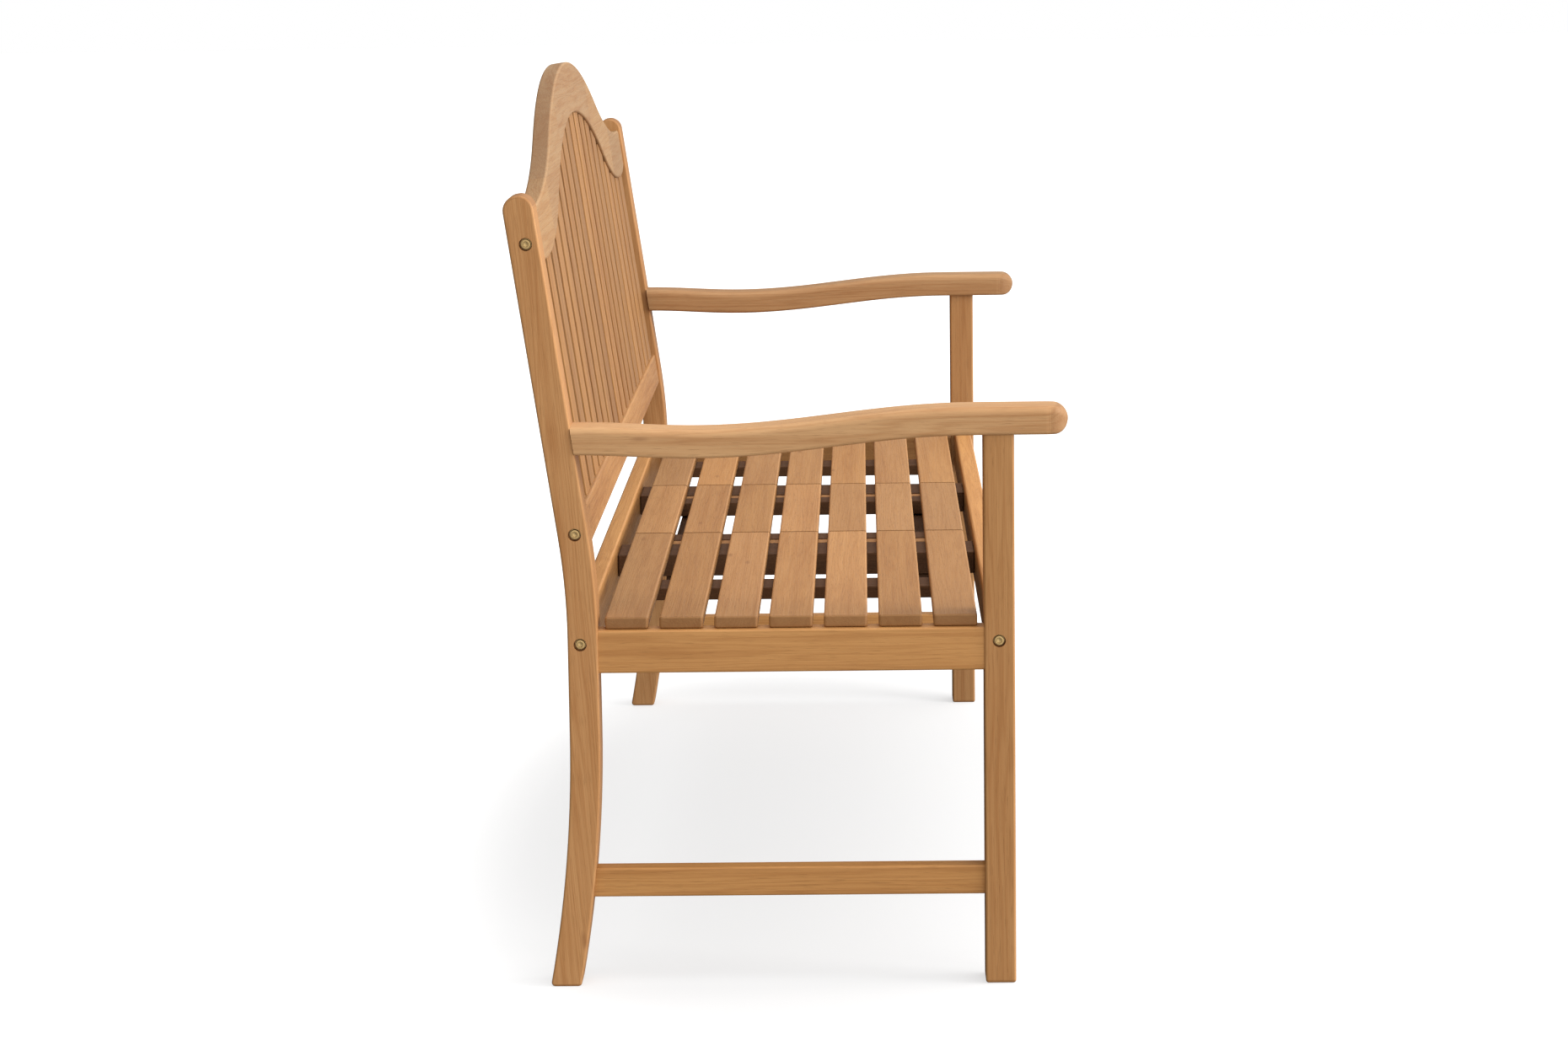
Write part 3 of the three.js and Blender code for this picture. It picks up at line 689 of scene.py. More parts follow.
# ---- The back's own frame ------------------------------------------------------------------

def up_back(sizes, height):
    """Distance up the slope of the back at a height above the ground."""
    return (height - sizes.knee_height) / math.cos(sizes.lean)


def on_back(sizes, points):
    """Takes points (x, depth, up the slope) to the bench: a turn about X through the knee."""
    c, s = math.cos(sizes.lean), math.sin(sizes.lean)
    x, depth, rise = points[..., 0], points[..., 1], points[..., 2]
    return np.stack([x, POST_MIDDLE + depth * c + rise * s, sizes.knee_height - depth * s + rise * c], -1)


def back_plane(sizes):
    """Front, middle and rear depth of the rails of the back."""
    front = -LEG_DEPTH / 2 + sizes.rail_recess
    return front, front + sizes.rail_depth / 2, front + sizes.rail_depth


def camel(sizes, x, edge):
    """Height up the back of a long edge of the crest rail: an arch from the middle, then a hollow
    that comes level. They share a tangent, which fixes the slope there, and with it both radii."""
    run = np.abs(x)
    high, low = (up_back(sizes, getattr(sizes, edge + part)) for part in ("_middle", "_level"))
    arch_reach, level_reach = (LEG_INNER - getattr(sizes, edge + part) for part in ("_arch_end", "_level_at"))
    slope = math.sin(2 * math.atan((high - low) / level_reach))
    arch, hollow = arch_reach / slope, (level_reach - arch_reach) / slope
    over = high - (arch - np.sqrt(np.maximum(arch ** 2 - np.minimum(run, arch_reach) ** 2, 0)))
    inner = np.clip(level_reach - run, 0, level_reach - arch_reach)
    under = low + (hollow - np.sqrt(hollow ** 2 - inner ** 2))
    return np.where(run <= arch_reach, over, under)


def crest_top(sizes, x):
    return camel(sizes, x, "crest_top")


def crest_under(sizes, x):
    """The underside: the same kind of line, with an arc that hooks up at each post."""
    level_at = sizes.crest_under_level_at
    hook = (level_at ** 2 + sizes.crest_hook ** 2) / (2 * sizes.crest_hook)
    past = np.maximum(np.abs(x) - (LEG_INNER - level_at), 0)
    return camel(sizes, x, "crest_under") + hook - np.sqrt(hook ** 2 - past ** 2)


def bolt_places(sizes):
    """(y, z) of the bolts in the posts and in the legs."""
    depth = back_plane(sizes)[1]
    crest_end = float(crest_top(sizes, LEG_INNER) + crest_under(sizes, LEG_INNER)) / 2
    lower_rise = up_back(sizes, sizes.lower_rail_bottom + sizes.lower_rail_height / 2)
    rises = (crest_end - sizes.crest_bolt_drop, lower_rise)
    posts = [on_back(sizes, np.array([0.0, depth, rise]))[1:] for rise in rises]
    return posts + [middle("rear_seat_rail")[1:]], [middle("front_seat_rail")[1:]]


# ---- End frames ----------------------------------------------------------------------------

POST_TONES_AND_SHADE = (1.04, 0.76)       # left and right, as for the two that follow; the right end's lower values paint shade on that end
LEG_TONES_AND_SHADE = (0.86, 0.68)
ARM_TONES_AND_SHADE = (1.06, 0.80)


def post_edges(sizes):
    """The front and rear edge of a rear post in (Y, Z).

    Both are offsets of one line: an arc that sweeps the foot back, an upright, an arc at the knee
    and a leaning length. A half circle closes the top, shared between the two edges."""
    half = LEG_DEPTH / 2
    top = corners("rear_post_right")[1][Z] - half
    sweep = (sizes.sweep_height ** 2 + sizes.sweep ** 2) / (2 * sizes.sweep)
    knee = sizes.knee_reach / math.tan(sizes.lean / 2)
    bend = sizes.knee_height - sizes.knee_reach
    crown_middle = np.array([POST_MIDDLE + (top - sizes.knee_height) * math.tan(sizes.lean), top])
    c, s = math.cos(sizes.lean), math.sin(sizes.lean)
    along, across = np.array([s, c]), np.array([-c, s])
    edges = []
    for side in (1.0, -1.0):
        radius = sweep + side * half
        turn = np.linspace(math.asin(sizes.sweep_height / radius), 0, 15)
        y, z = POST_MIDDLE + sweep - radius * np.cos(turn), sizes.sweep_height - radius * np.sin(turn)
        foot = np.stack([y, z], 1)
        radius = knee + side * half
        turn = np.linspace(0, sizes.lean, 8)
        bent = np.stack([POST_MIDDLE + knee - radius * np.cos(turn), bend + radius * np.sin(turn)], 1)
        turn = np.linspace(0, math.pi / 2, 10)[:-1]
        crown = crown_middle + half * (np.outer(np.cos(turn), across * side) + np.outer(np.sin(turn), along))
        edges.append(np.concatenate([foot, bent, crown]))
    return edges


def sinks(places, side, sizes):
    """Counterbores in the outer face of a leg or a post."""
    start, run = side * (LEG_OUTER + OVERCUT), -side * (sizes.sink_depth + OVERCUT)
    return [(sizes.sink_radius, (start, y, z), run) for y, z in places]


class BENCH_OT_end_frames(bpy.types.Operator):
    """Make the rear posts, front legs, side rails and lower stretchers"""
    bl_idname = "bench.end_frames"
    bl_label = "End frames"

    def execute(self, context):
        sizes = context.scene.bench_sizes
        edge = sizes.frame_edge
        front, rear = post_edges(sizes)
        post_bolts, leg_bolts = bolt_places(sizes)
        grain = (0, math.sin(sizes.lean / 2), math.cos(sizes.lean / 2))
        # the right end's post and leg are darkened by their tone, as painted shade
        for (end, side), post_tone_and_shade, leg_tone_and_shade in zip(ENDS, POST_TONES_AND_SHADE, LEG_TONES_AND_SHADE):
            near, far = sorted((side * LEG_INNER, side * LEG_OUTER))
            rings, mask = plate(front, rear, near, far, edge, (True, False), (True, True))
            timber(f"rear_post_timber_{end}", [(rings[..., [2, 0, 1]], mask)], grain, "oiled_frame_wood",
                   f"rear_post_{end}", holes=sinks(post_bolts, side, sizes), tone=post_tone_and_shade)
            low, high = corners(f"front_leg_{end}")
            high[Z] += JOINT_GAP
            plank(f"front_leg_timber_{end}", f"front_leg_{end}", Z, "oiled_frame_wood", edge, (True, False),
                  box=(low, high), holes=sinks(leg_bolts, side, sizes), tone=leg_tone_and_shade)
            plank(f"side_rail_timber_{end}", f"side_rail_{end}", Y, "oiled_rail_wood", edge, BUTT, SHOULDER)
            plank(f"lower_stretcher_timber_{end}", f"lower_stretcher_{end}", Y, "oiled_rail_wood", edge,
                  BUTT, 2 * SHOULDER)
        return {"FINISHED"}


# ---- Arm rests -----------------------------------------------------------------------------

SHEARED = 0.06              # length of an arm rest that leans over to its end at the post


def half_wave(t):
    """Rises from 0 to 1 as t does, along half a cosine wave."""
    return 0.5 - 0.5 * np.cos(math.pi * np.clip(t, 0, 1))


def post_face(sizes, z):
    """Y of the front face of a post's leaning length at a height."""
    return POST_MIDDLE + (z - sizes.knee_height) * math.tan(sizes.lean) - LEG_DEPTH / 2 / math.cos(sizes.lean)


def arm_rest(sizes, side):
    """Rings of an arm rest, from the post to the nose.

    Its underside is level over the leg, dips along half a cosine wave and rises along another to
    the post. Each ring is a rounded rectangle, with a larger radius on top than below. Towards the
    nose its half height is R sqrt(1 - q^2), where q runs from 0 to 1 over the last R of its
    length, and its half width follows the arc of the nose seen from above. The rear end is
    sheared to the leaning face of the post."""
    tip, rear = ARM_LOW[Y], post_face(sizes, ARM_UNDER)
    wide_nose, nose = sizes.arm_nose, sizes.arm_thickness / 2
    body = np.linspace(rear + SHOULDER, tip + wide_nose * 1.02, 34)
    from_above = tip + wide_nose * (1 - np.sin(np.linspace(0, math.radians(88), 15)))
    from_aside = tip + nose * (1 - np.cos(np.linspace(math.radians(6), math.pi / 2, 14)))
    y = np.unique(np.round(np.concatenate([body, from_above, from_aside]), 6))[::-1]
    y = y[y >= tip + nose * (1 - math.cos(math.radians(5)))]
    back = y - LEG_FRONT
    dip = half_wave((back - sizes.arm_dip_start) / (sizes.arm_dip_end - sizes.arm_dip_start))
    rise = half_wave((back - sizes.arm_dip_end) / (rear - LEG_FRONT - sizes.arm_dip_end))
    under = ARM_UNDER - sizes.arm_dip * dip + sizes.arm_rise * rise
    tall = nose * np.sqrt(1 - np.clip((tip + nose - y) / nose, 0, 1) ** 2)
    half_width = (ARM_HIGH[X] - ARM_LOW[X]) / 2
    into_nose = np.clip((tip + wide_nose - y) / wide_nose, 0, 1)
    wide = half_width - wide_nose + wide_nose * np.sqrt(1 - into_nose ** 2)
    top_round, low_round = np.minimum(sizes.arm_round, 0.98 * tall), np.minimum(sizes.arm_ease, 0.9 * tall)
    turn = np.linspace(0, math.pi / 2, 7)
    upper_x = (wide - top_round)[:, None] + np.outer(top_round, np.sin(turn))
    upper_z = (tall - top_round)[:, None] + np.outer(top_round, np.cos(turn))
    lower_x = (wide - low_round)[:, None] + np.outer(low_round, np.cos(turn))
    lower_z = -(tall - low_round)[:, None] - np.outer(low_round, np.sin(turn))
    one_x, one_z = np.concatenate([upper_x, lower_x], 1), np.concatenate([upper_z, lower_z], 1)
    x = np.concatenate([one_x, -one_x[:, ::-1]], 1)
    z = np.concatenate([one_z, one_z[:, ::-1]], 1) + (under + nose)[:, None]
    along = np.broadcast_to(y[:, None], x.shape)
    along = along + (post_face(sizes, z) - rear) * np.clip((along - (rear - SHEARED)) / SHEARED, 0, 1)
    mask = np.tile(np.sin(2 * turn), 2)
    mask = np.broadcast_to(np.concatenate([mask, mask[::-1]]), x.shape)
    return np.stack([side * (ARM_LOW[X] + ARM_HIGH[X]) / 2 + x, along, z], -1), mask


class BENCH_OT_arm_rests(bpy.types.Operator):
    """Make the two arm rests"""
    bl_idname = "bench.arm_rests"
    bl_label = "Arm rests"

    def execute(self, context):
        # the right arm rest is darkened by its tone, as painted shade
        for (end, side), tone in zip(ENDS, ARM_TONES_AND_SHADE):
            rings, mask = arm_rest(context.scene.bench_sizes, side)
            # the arm rests get half the painted edge highlight
            timber(f"arm_rest_timber_{end}", [(rings, mask * 0.5)], (0, 1, 0), "oiled_arm_wood",
                   f"arm_rest_{end}", tone=tone)
        return {"FINISHED"}


# ---- Back ----------------------------------------------------------------------------------

CREST_JOINTS = (0.262, 0.535)       # glue lines either side of the middle
CREST_STEP = 0.009                  # between points along the crest rail
TENON = 0.004                       # how far a back slat is let into the rails
LOWER_RAIL_TONE = 1.22


class BENCH_OT_crest_rail(bpy.types.Operator):
    """Make the crest rail, glued up from five blocks"""
    bl_idname = "bench.crest_rail"
    bl_label = "Crest rail"

    def execute(self, context):
        sizes = context.scene.bench_sizes
        front, _, rear = back_plane(sizes)
        right = [*CREST_JOINTS, LEG_INNER + SHOULDER]
        joints = [-x for x in reversed(right)] + right
        for i, (start, stop) in enumerate(zip(joints[:-1], joints[1:]), 1):
            x = np.linspace(start, stop, max(3, round((stop - start) / CREST_STEP)))
            low, high = np.stack([x, crest_under(sizes, x)], 1), np.stack([x, crest_top(sizes, x)], 1)
            rings, mask = plate(low, high, front, rear, sizes.frame_edge, BUTT)
            timber(f"crest_block_{i}", [(on_back(sizes, rings[..., [0, 2, 1]]), mask)], (1, 0, 0),
                   "oiled_crest_wood", "crest_rail")
        return {"FINISHED"}


class BENCH_OT_back_slats(bpy.types.Operator):
    """Make the lower back rail and the slats of the back"""
    bl_idname = "bench.back_slats"
    bl_label = "Back slats"

    def execute(self, context):
        sizes = context.scene.bench_sizes
        front, depth, rear = back_plane(sizes)
        foot = up_back(sizes, sizes.lower_rail_bottom)
        head = foot + sizes.lower_rail_height
        end = LEG_INNER + SHOULDER
        rings, mask = plate([[-end, foot], [end, foot]], [[-end, head], [end, head]], front, rear,
                            sizes.frame_edge, BUTT)
        timber("lower_back_rail_timber", [(on_back(sizes, rings[..., [0, 2, 1]]), mask)], (1, 0, 0),
               "oiled_back_wood", "lower_back_rail", tone=LOWER_RAIL_TONE)
        width, half = sizes.back_slat_width, sizes.back_slat_depth / 2
        gap = (2 * LEG_INNER - BACK_SLAT_COUNT * width) / (BACK_SLAT_COUNT + 1)
        grain = (0, math.sin(sizes.lean), math.cos(sizes.lean))
        for i in range(BACK_SLAT_COUNT):
            left = -LEG_INNER + gap + i * (width + gap)
            sides = [[[head - TENON, x], [float(crest_under(sizes, x)) + TENON, x]]
                     for x in (left, left + width)]
            rings, mask = plate(*sides, depth - half, depth + half, sizes.thin_edge, BUTT)
            timber(f"back_slat_timber_{i + 1}", [(on_back(sizes, rings[..., [1, 2, 0]]), mask)], grain,
                   "oiled_back_wood", f"back_slat_{i + 1}")
        return {"FINISHED"}


# ---- Seat ----------------------------------------------------------------------------------

PIN_SEAT = 0.040            # length of a pin inside the seam rail
LAP_SLOPE = 0.0005          # half the run of the step at a spreader's lap


class BENCH_OT_seat(bpy.types.Operator):
    """Make the seat rails and the fixed slats of the seat"""
    bl_idname = "bench.seat"
    bl_label = "Seat"

    def execute(self, context):
        sizes = context.scene.bench_sizes
        for rail in ("front_seat_rail", "rear_seat_rail"):
            plank(rail + "_timber", rail, X, "oiled_rail_wood", sizes.frame_edge, BUTT, SHOULDER)
        for end, side in ENDS:
            for i in SLAT_NUMBERS:
                node = f"seat_slat_{end}_{i}"
                plank(node + "_timber", node, X, "oiled_slat_wood", sizes.slat_edge, (side < 0, side > 0))
        return {"FINISHED"}


class BENCH_OT_under_seat(bpy.types.Operator):
    """Make the battens, the seam rails and the spreaders under the seat"""
    bl_idname = "bench.under_seat"
    bl_label = "Under the seat"

    def execute(self, context):
        sizes = context.scene.bench_sizes
        edge = sizes.thin_edge
        for end, side in ENDS:
            node = f"seat_batten_{end}"
            plank(node + "_timber", node, Y, "bare_under_wood", edge)
            node = f"seam_rail_{end}"
            low, high = corners(node)
            start = (low[X] if side > 0 else high[X]) - side * OVERCUT
            radius, run = sizes.rod_radius + JOINT_GAP, side * (OVERCUT + PIN_SEAT + JOINT_GAP)
            holes = [(radius, (start, y, z), run) for y, z in lower_pivots()]
            plank(node + "_timber", node, Y, "bare_under_wood", edge, holes=holes)
        neck, _, lap = corners("seam_rail_right")[0] - JOINT_GAP
        for row in ("front", "rear"):
            node = f"table_spreader_{row}"
            low, high = corners(node)
            x = np.array([low[X], -neck - LAP_SLOPE, -neck + LAP_SLOPE,
                          neck - LAP_SLOPE, neck + LAP_SLOPE, high[X]])
            top = np.array([lap, lap, high[Z], high[Z], lap, lap])
            bottom = np.full_like(x, low[Z])
            rings, mask = plate(np.stack([x, bottom], 1), np.stack([x, top], 1), low[Y], high[Y], edge)
            timber(node + "_timber", [(rings[..., [0, 2, 1]], mask)], (1, 0, 0), "bare_under_wood", node)
        return {"FINISHED"}


# ---- Lift-up table -------------------------------------------------------------------------

SWING_HEEL = 0.022          # from the lower pivot to the end of an arm
SWING_DEPTH = 0.020
SWING_WIDTH = 0.022
SWING_INSET = 0.002         # of an arm's outer face from the table's end
CLEAT_WIDTH = 0.042
CLEAT_GAP = 0.003           # between a cleat and its swing arm
CLEAT_INSET = 0.005         # from the front and rear edges of the table
CLEAT_OUTER = TABLE_HIGH[X] - SWING_INSET - SWING_WIDTH - CLEAT_GAP
ROD_PROUD = 0.0008          # of a rod's end beyond the swing arm
PIN_HEAD_THICK = 0.0018


def lower_pivots():
    """(y, z) of the pins that the swing arms turn on."""
    return [middle(f"pivot_pin_{row}_left")[1:] for row in ("front", "rear")]


def upper_pivots():
    """(y, z) of the rods that carry the table, a swing arm's length behind the pins."""
    reach = JOINTS["table_level"]["pos_m"][Y] - JOINTS["table_lift"]["pos_m"][Y]
    return [(y + reach, z) for y, z in lower_pivots()]


def rod_holes(sizes, near, far, places):
    """Holes right through a piece from near to far, for a rod that turns in them."""
    radius = sizes.rod_radius + sizes.rod_clearance
    return [(radius, (near - OVERCUT, y, z), far - near + 2 * OVERCUT) for y, z in places]


class BENCH_OT_table(bpy.types.Operator):
    """Make the slats and cleats of the lift-up table"""
    bl_idname = "bench.table"
    bl_label = "Table"

    def execute(self, context):
        sizes = context.scene.bench_sizes
        for i in SLAT_NUMBERS:
            low, high = corners(f"seat_slat_left_{i}")
            slat_bottom = low[Z]
            low[X], high[X] = TABLE_LOW[X], TABLE_HIGH[X]
            plank(f"table_slat_{i}", "table_top", X, "oiled_slat_wood", sizes.slat_edge, BUTT,
                  box=(low, high), body="table")
        for end, side in ENDS:
            near, far = sorted((side * CLEAT_OUTER, side * (CLEAT_OUTER - CLEAT_WIDTH)))
            low = (near, TABLE_LOW[Y] + CLEAT_INSET, TABLE_LOW[Z])
            high = (far, TABLE_HIGH[Y] - CLEAT_INSET, slat_bottom)
            plank(f"table_cleat_{end}", "table_top", Y, "bare_under_wood", sizes.thin_edge, box=(low, high),
                  body="table", holes=rod_holes(sizes, near, far, upper_pivots()))
        return {"FINISHED"}


def pin_profile(sizes, span):
    """Profile of a pivot pin: a low dome for a head, a shank and a chamfered end."""
    h, t, r = sizes.pin_head, PIN_HEAD_THICK, sizes.rod_radius
    dome = [[h * 0.30, 0.0], [h * 0.55, 0.0001], [h * 0.82, 0.0004], [h * 0.97, 0.0009], [h, 0.0013]]
    return dome + [[h * 0.98, t], [r, t], [r, span - 0.001], [r * 0.75, span]]


class BENCH_OT_swing_frames(bpy.types.Operator):
    """Make the swing arms, the rods that carry the table and the pins they turn on"""
    bl_idname = "bench.swing_frames"
    bl_label = "Swing frames"

    def execute(self, context):
        sizes = context.scene.bench_sizes
        outer = TABLE_HIGH[X] - SWING_INSET
        half = SWING_DEPTH / 2
        swing = np.linspace(math.pi / 2, 0, 9)[:-1]
        for row, (pin_y, z), (rod_y, _) in zip(("front", "rear"), lower_pivots(), upper_pivots()):
            node, body = f"swing_frame_{row}", f"{row}_swing"
            edges = []
            for sign in (-1.0, 1.0):
                tip = np.stack([rod_y + half * np.cos(swing), z + sign * half * np.sin(swing)], 1)
                edges.append(np.concatenate([[[pin_y - SWING_HEEL, z + sign * half]], tip]))
            for end, side in ENDS:
                near, far = sorted((side * (outer - SWING_WIDTH), side * outer))
                rings, mask = plate(*edges, near, far, sizes.thin_edge * 0.8, (True, False), (True, True))
                timber(f"swing_arm_{row}_{end}", [(rings[..., [2, 0, 1]], mask)], (0, 1, 0),
                       "oiled_rail_wood", node, body, rod_holes(sizes, near, far, [(pin_y, z)]))
            r, reach = sizes.rod_radius, outer + ROD_PROUD
            profile = [[r * 0.7, -reach], [r, r * 0.3 - reach], [r, reach - r * 0.3], [r * 0.7, reach]]
            fitting(f"table_rod_{row}", [(lathe(profile, X, (0.0, rod_y, z)), 0.0)], body, node)
            for end, side in ENDS:
                pin = f"pivot_pin_{row}_{end}"
                low, high = corners(pin)
                head = low[X] if side > 0 else high[X]
                rings = lathe(pin_profile(sizes, high[X] - low[X]), X, (head, pin_y, z), side=side)
                fitting(pin + "_steel", [(rings, 0.0)], "root", pin)
        return {"FINISHED"}


# ---- Bolts and screws ----------------------------------------------------------------------

WASHER_PROUD = 0.0006       # of a washer beyond the bolt's head
WASHER_THICK = 0.0008
SOCKET_DEPTH = 0.0030
SCREW_SHIFT = 0.012         # of a slat's two screws from the middle of its width
SEAM_SCREW_IN = 0.012       # of the screws from the seam rail's face at the seam


def socket_bolt(sizes, y, z, side):
    """A socket head on a washer, at the bottom of a counterbore.

    The head is turned from a profile whose last rows fold into a hexagon for the socket."""
    r, hexagon = sizes.bolt_radius, sizes.socket_width / 2
    washer, top = r + WASHER_PROUD, WASHER_THICK + sizes.bolt_height
    profile = [[washer, 0.0], [washer, WASHER_THICK], [r, WASHER_THICK], [r, top - 0.0008],
               [r - 0.0003, top - 0.0002], [r - 0.0009, top], [hexagon + 0.0004, top],
               [hexagon, top - 0.0004], [hexagon, top - SOCKET_DEPTH],
               [hexagon * 0.3, top - SOCKET_DEPTH - 0.0004]]
    base = (side * (LEG_OUTER - sizes.sink_depth), y, z)
    return lathe(profile, X, base, sides=48, side=side, hexagons=4), 0.0


def screw_heads(sizes, x, end, z):
    """Domed screw heads under a line of slats, each with a shallow dimple for the driver."""
    r = sizes.screw_radius
    profile = [[r, 0.0002], [r, -0.0004], [r * 0.86, -0.0011], [r * 0.55, -0.0016], [r * 0.34, -0.0016],
               [r * 0.22, -0.0006], [r * 0.1, -0.0005]]
    lines = [middle(f"seat_slat_{end}_{i}")[Y] for i in SLAT_NUMBERS]
    return [(lathe(profile, Z, (x, y + shift, z), sides=12), 0.0)
            for y in lines for shift in (-SCREW_SHIFT, SCREW_SHIFT)]


class BENCH_OT_fixings(bpy.types.Operator):
    """Make the bolts of the frame and the screws under the slats"""
    bl_idname = "bench.fixings"
    bl_label = "Bolts and screws"

    def execute(self, context):
        sizes = context.scene.bench_sizes
        post_bolts, leg_bolts = bolt_places(sizes)
        for end, side in ENDS:
            for name, (y, z) in zip(("crest", "back", "rear_seat", "front_seat"), post_bolts + leg_bolts):
                fitting(f"bolt_{name}_{end}", [socket_bolt(sizes, y, z, side)])
            batten, (low, high) = middle(f"seat_batten_{end}")[X], corners(f"seam_rail_{end}")
            rail = high[X] - SEAM_SCREW_IN if side > 0 else low[X] + SEAM_SCREW_IN
            heads = screw_heads(sizes, batten, end, corners(f"seat_batten_{end}")[0][Z])
            fitting(f"seat_screws_{end}", heads + screw_heads(sizes, rail, end, low[Z]))
            heads = screw_heads(sizes, side * (CLEAT_OUTER - CLEAT_WIDTH / 2), "left", TABLE_LOW[Z])
            fitting(f"table_screws_{end}", heads, "table")
        return {"FINISHED"}


# ---- Stage ---------------------------------------------------------------------------------

FLOOR_POINTS = 9                        # along each side of the floor's grid
GLOW_STRETCH = (0.6, 1.6, 0.0)          # of distances over the floor
GLOW_EDGES = 0.50, 1.05                 # the glow starts to rise out of the painted shadow, and is full
ROOM_EDGES = -0.7, 1.0                  # cosines to the room's aim: darkest and brightest
WHITE = (1, 1, 1, 1)


def stage_floor(stage):
    """A flat square grid of points under the bench.

    Its pale material glows as over-lit paper does, fully from 1.05 m out, and only by the floor
    shadow glow within 0.5 m of the middle, which paints the bench's soft shadow on the floor;
    distances are measured with X stretched by 0.6 and Y by 1.6."""
    line = np.linspace(-stage.floor_side / 2, stage.floor_side / 2, FLOOR_POINTS)
    u, v = np.meshgrid(line, line, indexing="ij")
    points = np.stack([u, v, np.zeros_like(u)], -1).reshape(-1, 3)
    here = np.arange(u.size).reshape(u.shape)
    quads = np.stack([here[:-1, :-1], here[1:, :-1], here[1:, 1:], here[:-1, 1:]], -1).reshape(-1, 4)
    mesh = bpy.data.meshes.new("stage_floor")
    mesh.from_pydata(points.tolist(), [], quads.tolist())
    floor = bpy.data.objects.new("stage_floor", mesh)
    bpy.context.scene.collection.objects.link(floor)
    material = bpy.data.materials.new("pale_floor")
    material.use_nodes = True
    tree = material.node_tree
    place = add(tree, "ShaderNodeTexCoord").outputs["Object"]
    flat = add(tree, "ShaderNodeVectorMath", {0: place, 1: GLOW_STRETCH}, operation="MULTIPLY")
    away = add(tree, "ShaderNodeVectorMath", {0: flat.outputs["Vector"]}, operation="LENGTH")
    # the glow is lower near the middle: a painted shadow under the bench
    glow = ramp(tree, away.outputs["Value"], *GLOW_EDGES, (stage.floor_glow, 1.0))
    shader = tree.nodes["Principled BSDF"]
    tree.links.new(glow, shader.inputs["Emission Color"])
    shader.inputs["Base Color"].default_value = (0.36, 0.36, 0.36, 1)
    for key, value in (("Roughness", 0.9), ("Specular IOR Level", 0.1), ("Emission Strength", 1.0)):
        shader.inputs[key].default_value = value
    mesh.materials.append(material)
    floor.visible_diffuse = floor.visible_glossy = False


def white_room(stage):
    """The world: white to the camera, and bright on one side for the light that it gives."""
    world = bpy.data.worlds.new("white_room")
    world.use_nodes = True
    tree = world.node_tree
    tree.nodes.clear()
    way = add(tree, "ShaderNodeTexCoord").outputs["Generated"]
    inputs = {0: way, 1: Vector(stage.room_aim).normalized()}
    facing = add(tree, "ShaderNodeVectorMath", inputs, operation="DOT_PRODUCT").outputs["Value"]
    light = ramp(tree, facing, *ROOM_EDGES, (stage.room_dark, stage.room_light))
    lit = add(tree, "ShaderNodeBackground", {"Color": WHITE, "Strength": light})
    seen = add(tree, "ShaderNodeBackground", {"Color": WHITE, "Strength": 1.0})
    path = add(tree, "ShaderNodeLightPath").outputs["Is Camera Ray"]
    either = add(tree, "ShaderNodeMixShader", {0: path, 1: lit.outputs[0], 2: seen.outputs[0]})
    add(tree, "ShaderNodeOutputWorld", {"Surface": either.outputs[0]})
    return world


def soft_light(name, place, aim, size, power):
    lamp = bpy.data.lights.new(name, "AREA")
    lamp.shape, lamp.size, lamp.size_y, lamp.energy = "RECTANGLE", size[0], size[1], power
    lit = bpy.data.objects.new(name, lamp)
    lit.location = place
    lit.rotation_euler = (Vector(aim) - Vector(place)).to_track_quat("-Z", "Y").to_euler()
    bpy.context.scene.collection.objects.link(lit)


def aimed_camera(stage):
    """A camera whose line of sight is turned by the yaw, the pitch and the roll."""
    yaw, pitch, roll = stage.camera_yaw, stage.camera_pitch, stage.camera_roll
    forward = Vector((math.cos(pitch) * math.cos(yaw), math.cos(pitch) * math.sin(yaw), -math.sin(pitch)))
    right = forward.cross(Vector((0, 0, 1))).normalized()
    up = right.cross(forward)
    side = math.cos(roll) * right + math.sin(roll) * up
    head = -math.sin(roll) * right + math.cos(roll) * up
    lens = bpy.data.cameras.new("camera")
    lens.lens, lens.sensor_width, lens.clip_end = stage.camera_lens, 36.0, 200.0
    camera = bpy.data.objects.new("camera", lens)
    turn = Matrix((side, head, -forward)).transposed().to_4x4()
    camera.matrix_world = Matrix.Translation(Vector(stage.camera_place)) @ turn
    bpy.context.scene.collection.objects.link(camera)
    return camera


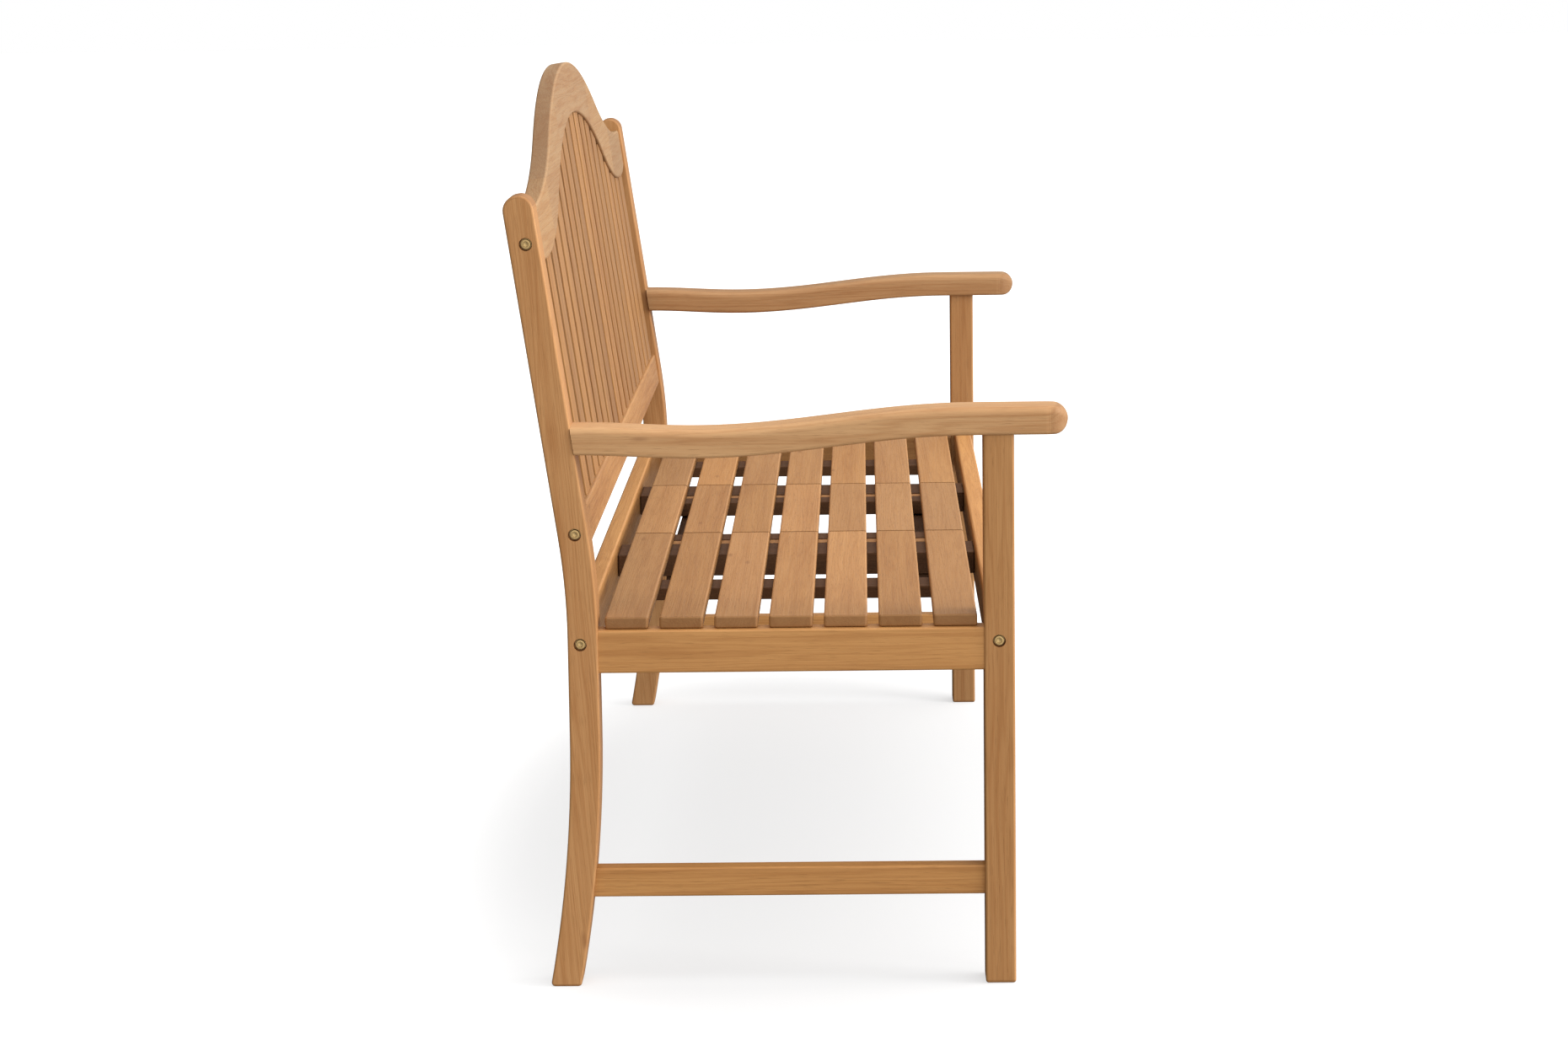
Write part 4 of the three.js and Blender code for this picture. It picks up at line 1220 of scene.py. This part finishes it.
class BENCH_OT_stage(bpy.types.Operator):
    """Make the floor, the lights and the camera"""
    bl_idname = "bench.stage"
    bl_label = "Stage"

    def execute(self, context):
        stage, scene = context.scene.bench_stage, context.scene
        stage_floor(stage)
        scene.world = white_room(stage)
        soft_light("key_light", (-0.9, -4.0, 2.3), (0, 0, 0.5), (2.0, 1.6), stage.key_power)
        soft_light("top_light", (0.3, -0.3, 3.6), (0, 0, 0.4), (4.0, 3.0), stage.top_power)
        scene.camera = aimed_camera(stage)
        scene.view_settings.view_transform = "Standard"
        return {"FINISHED"}


# ---- Add-on --------------------------------------------------------------------------------

STEPS = (BENCH_OT_stage, BENCH_OT_end_frames, BENCH_OT_arm_rests, BENCH_OT_crest_rail, BENCH_OT_back_slats,
         BENCH_OT_seat, BENCH_OT_under_seat, BENCH_OT_table, BENCH_OT_swing_frames, BENCH_OT_fixings)
GROUPS = {"bench_sizes": BenchSizes, "bench_finish": BenchFinish, "bench_stage": BenchStage}


class BENCH_PT_panel(bpy.types.Panel):
    """Lists the bench's sizes, finishes and steps"""
    bl_label = "Garden bench"
    bl_idname = "BENCH_PT_panel"
    bl_space_type = "VIEW_3D"
    bl_region_type = "UI"
    bl_category = "Bench"

    def draw(self, context):
        for step in STEPS:
            self.layout.operator(step.bl_idname)
        for name, group in GROUPS.items():
            box = self.layout.box()
            for key in group.__annotations__:
                box.prop(getattr(context.scene, name), key)


def register():
    for each in (*GROUPS.values(), *STEPS, BENCH_PT_panel):
        bpy.utils.register_class(each)
    for name, group in GROUPS.items():
        setattr(bpy.types.Scene, name, PointerProperty(type=group))


def unregister():
    for name in GROUPS:
        delattr(bpy.types.Scene, name)
    for each in (BENCH_PT_panel, *reversed(STEPS), *reversed(tuple(GROUPS.values()))):
        bpy.utils.unregister_class(each)


def main():
    register()
    bpy.ops.bench.stage()
    bpy.ops.bench.end_frames()
    bpy.ops.bench.arm_rests()
    bpy.ops.bench.crest_rail()
    bpy.ops.bench.back_slats()
    bpy.ops.bench.seat()
    bpy.ops.bench.under_seat()
    bpy.ops.bench.table()
    bpy.ops.bench.swing_frames()
    bpy.ops.bench.fixings()


if __name__ == "__main__":
    main()
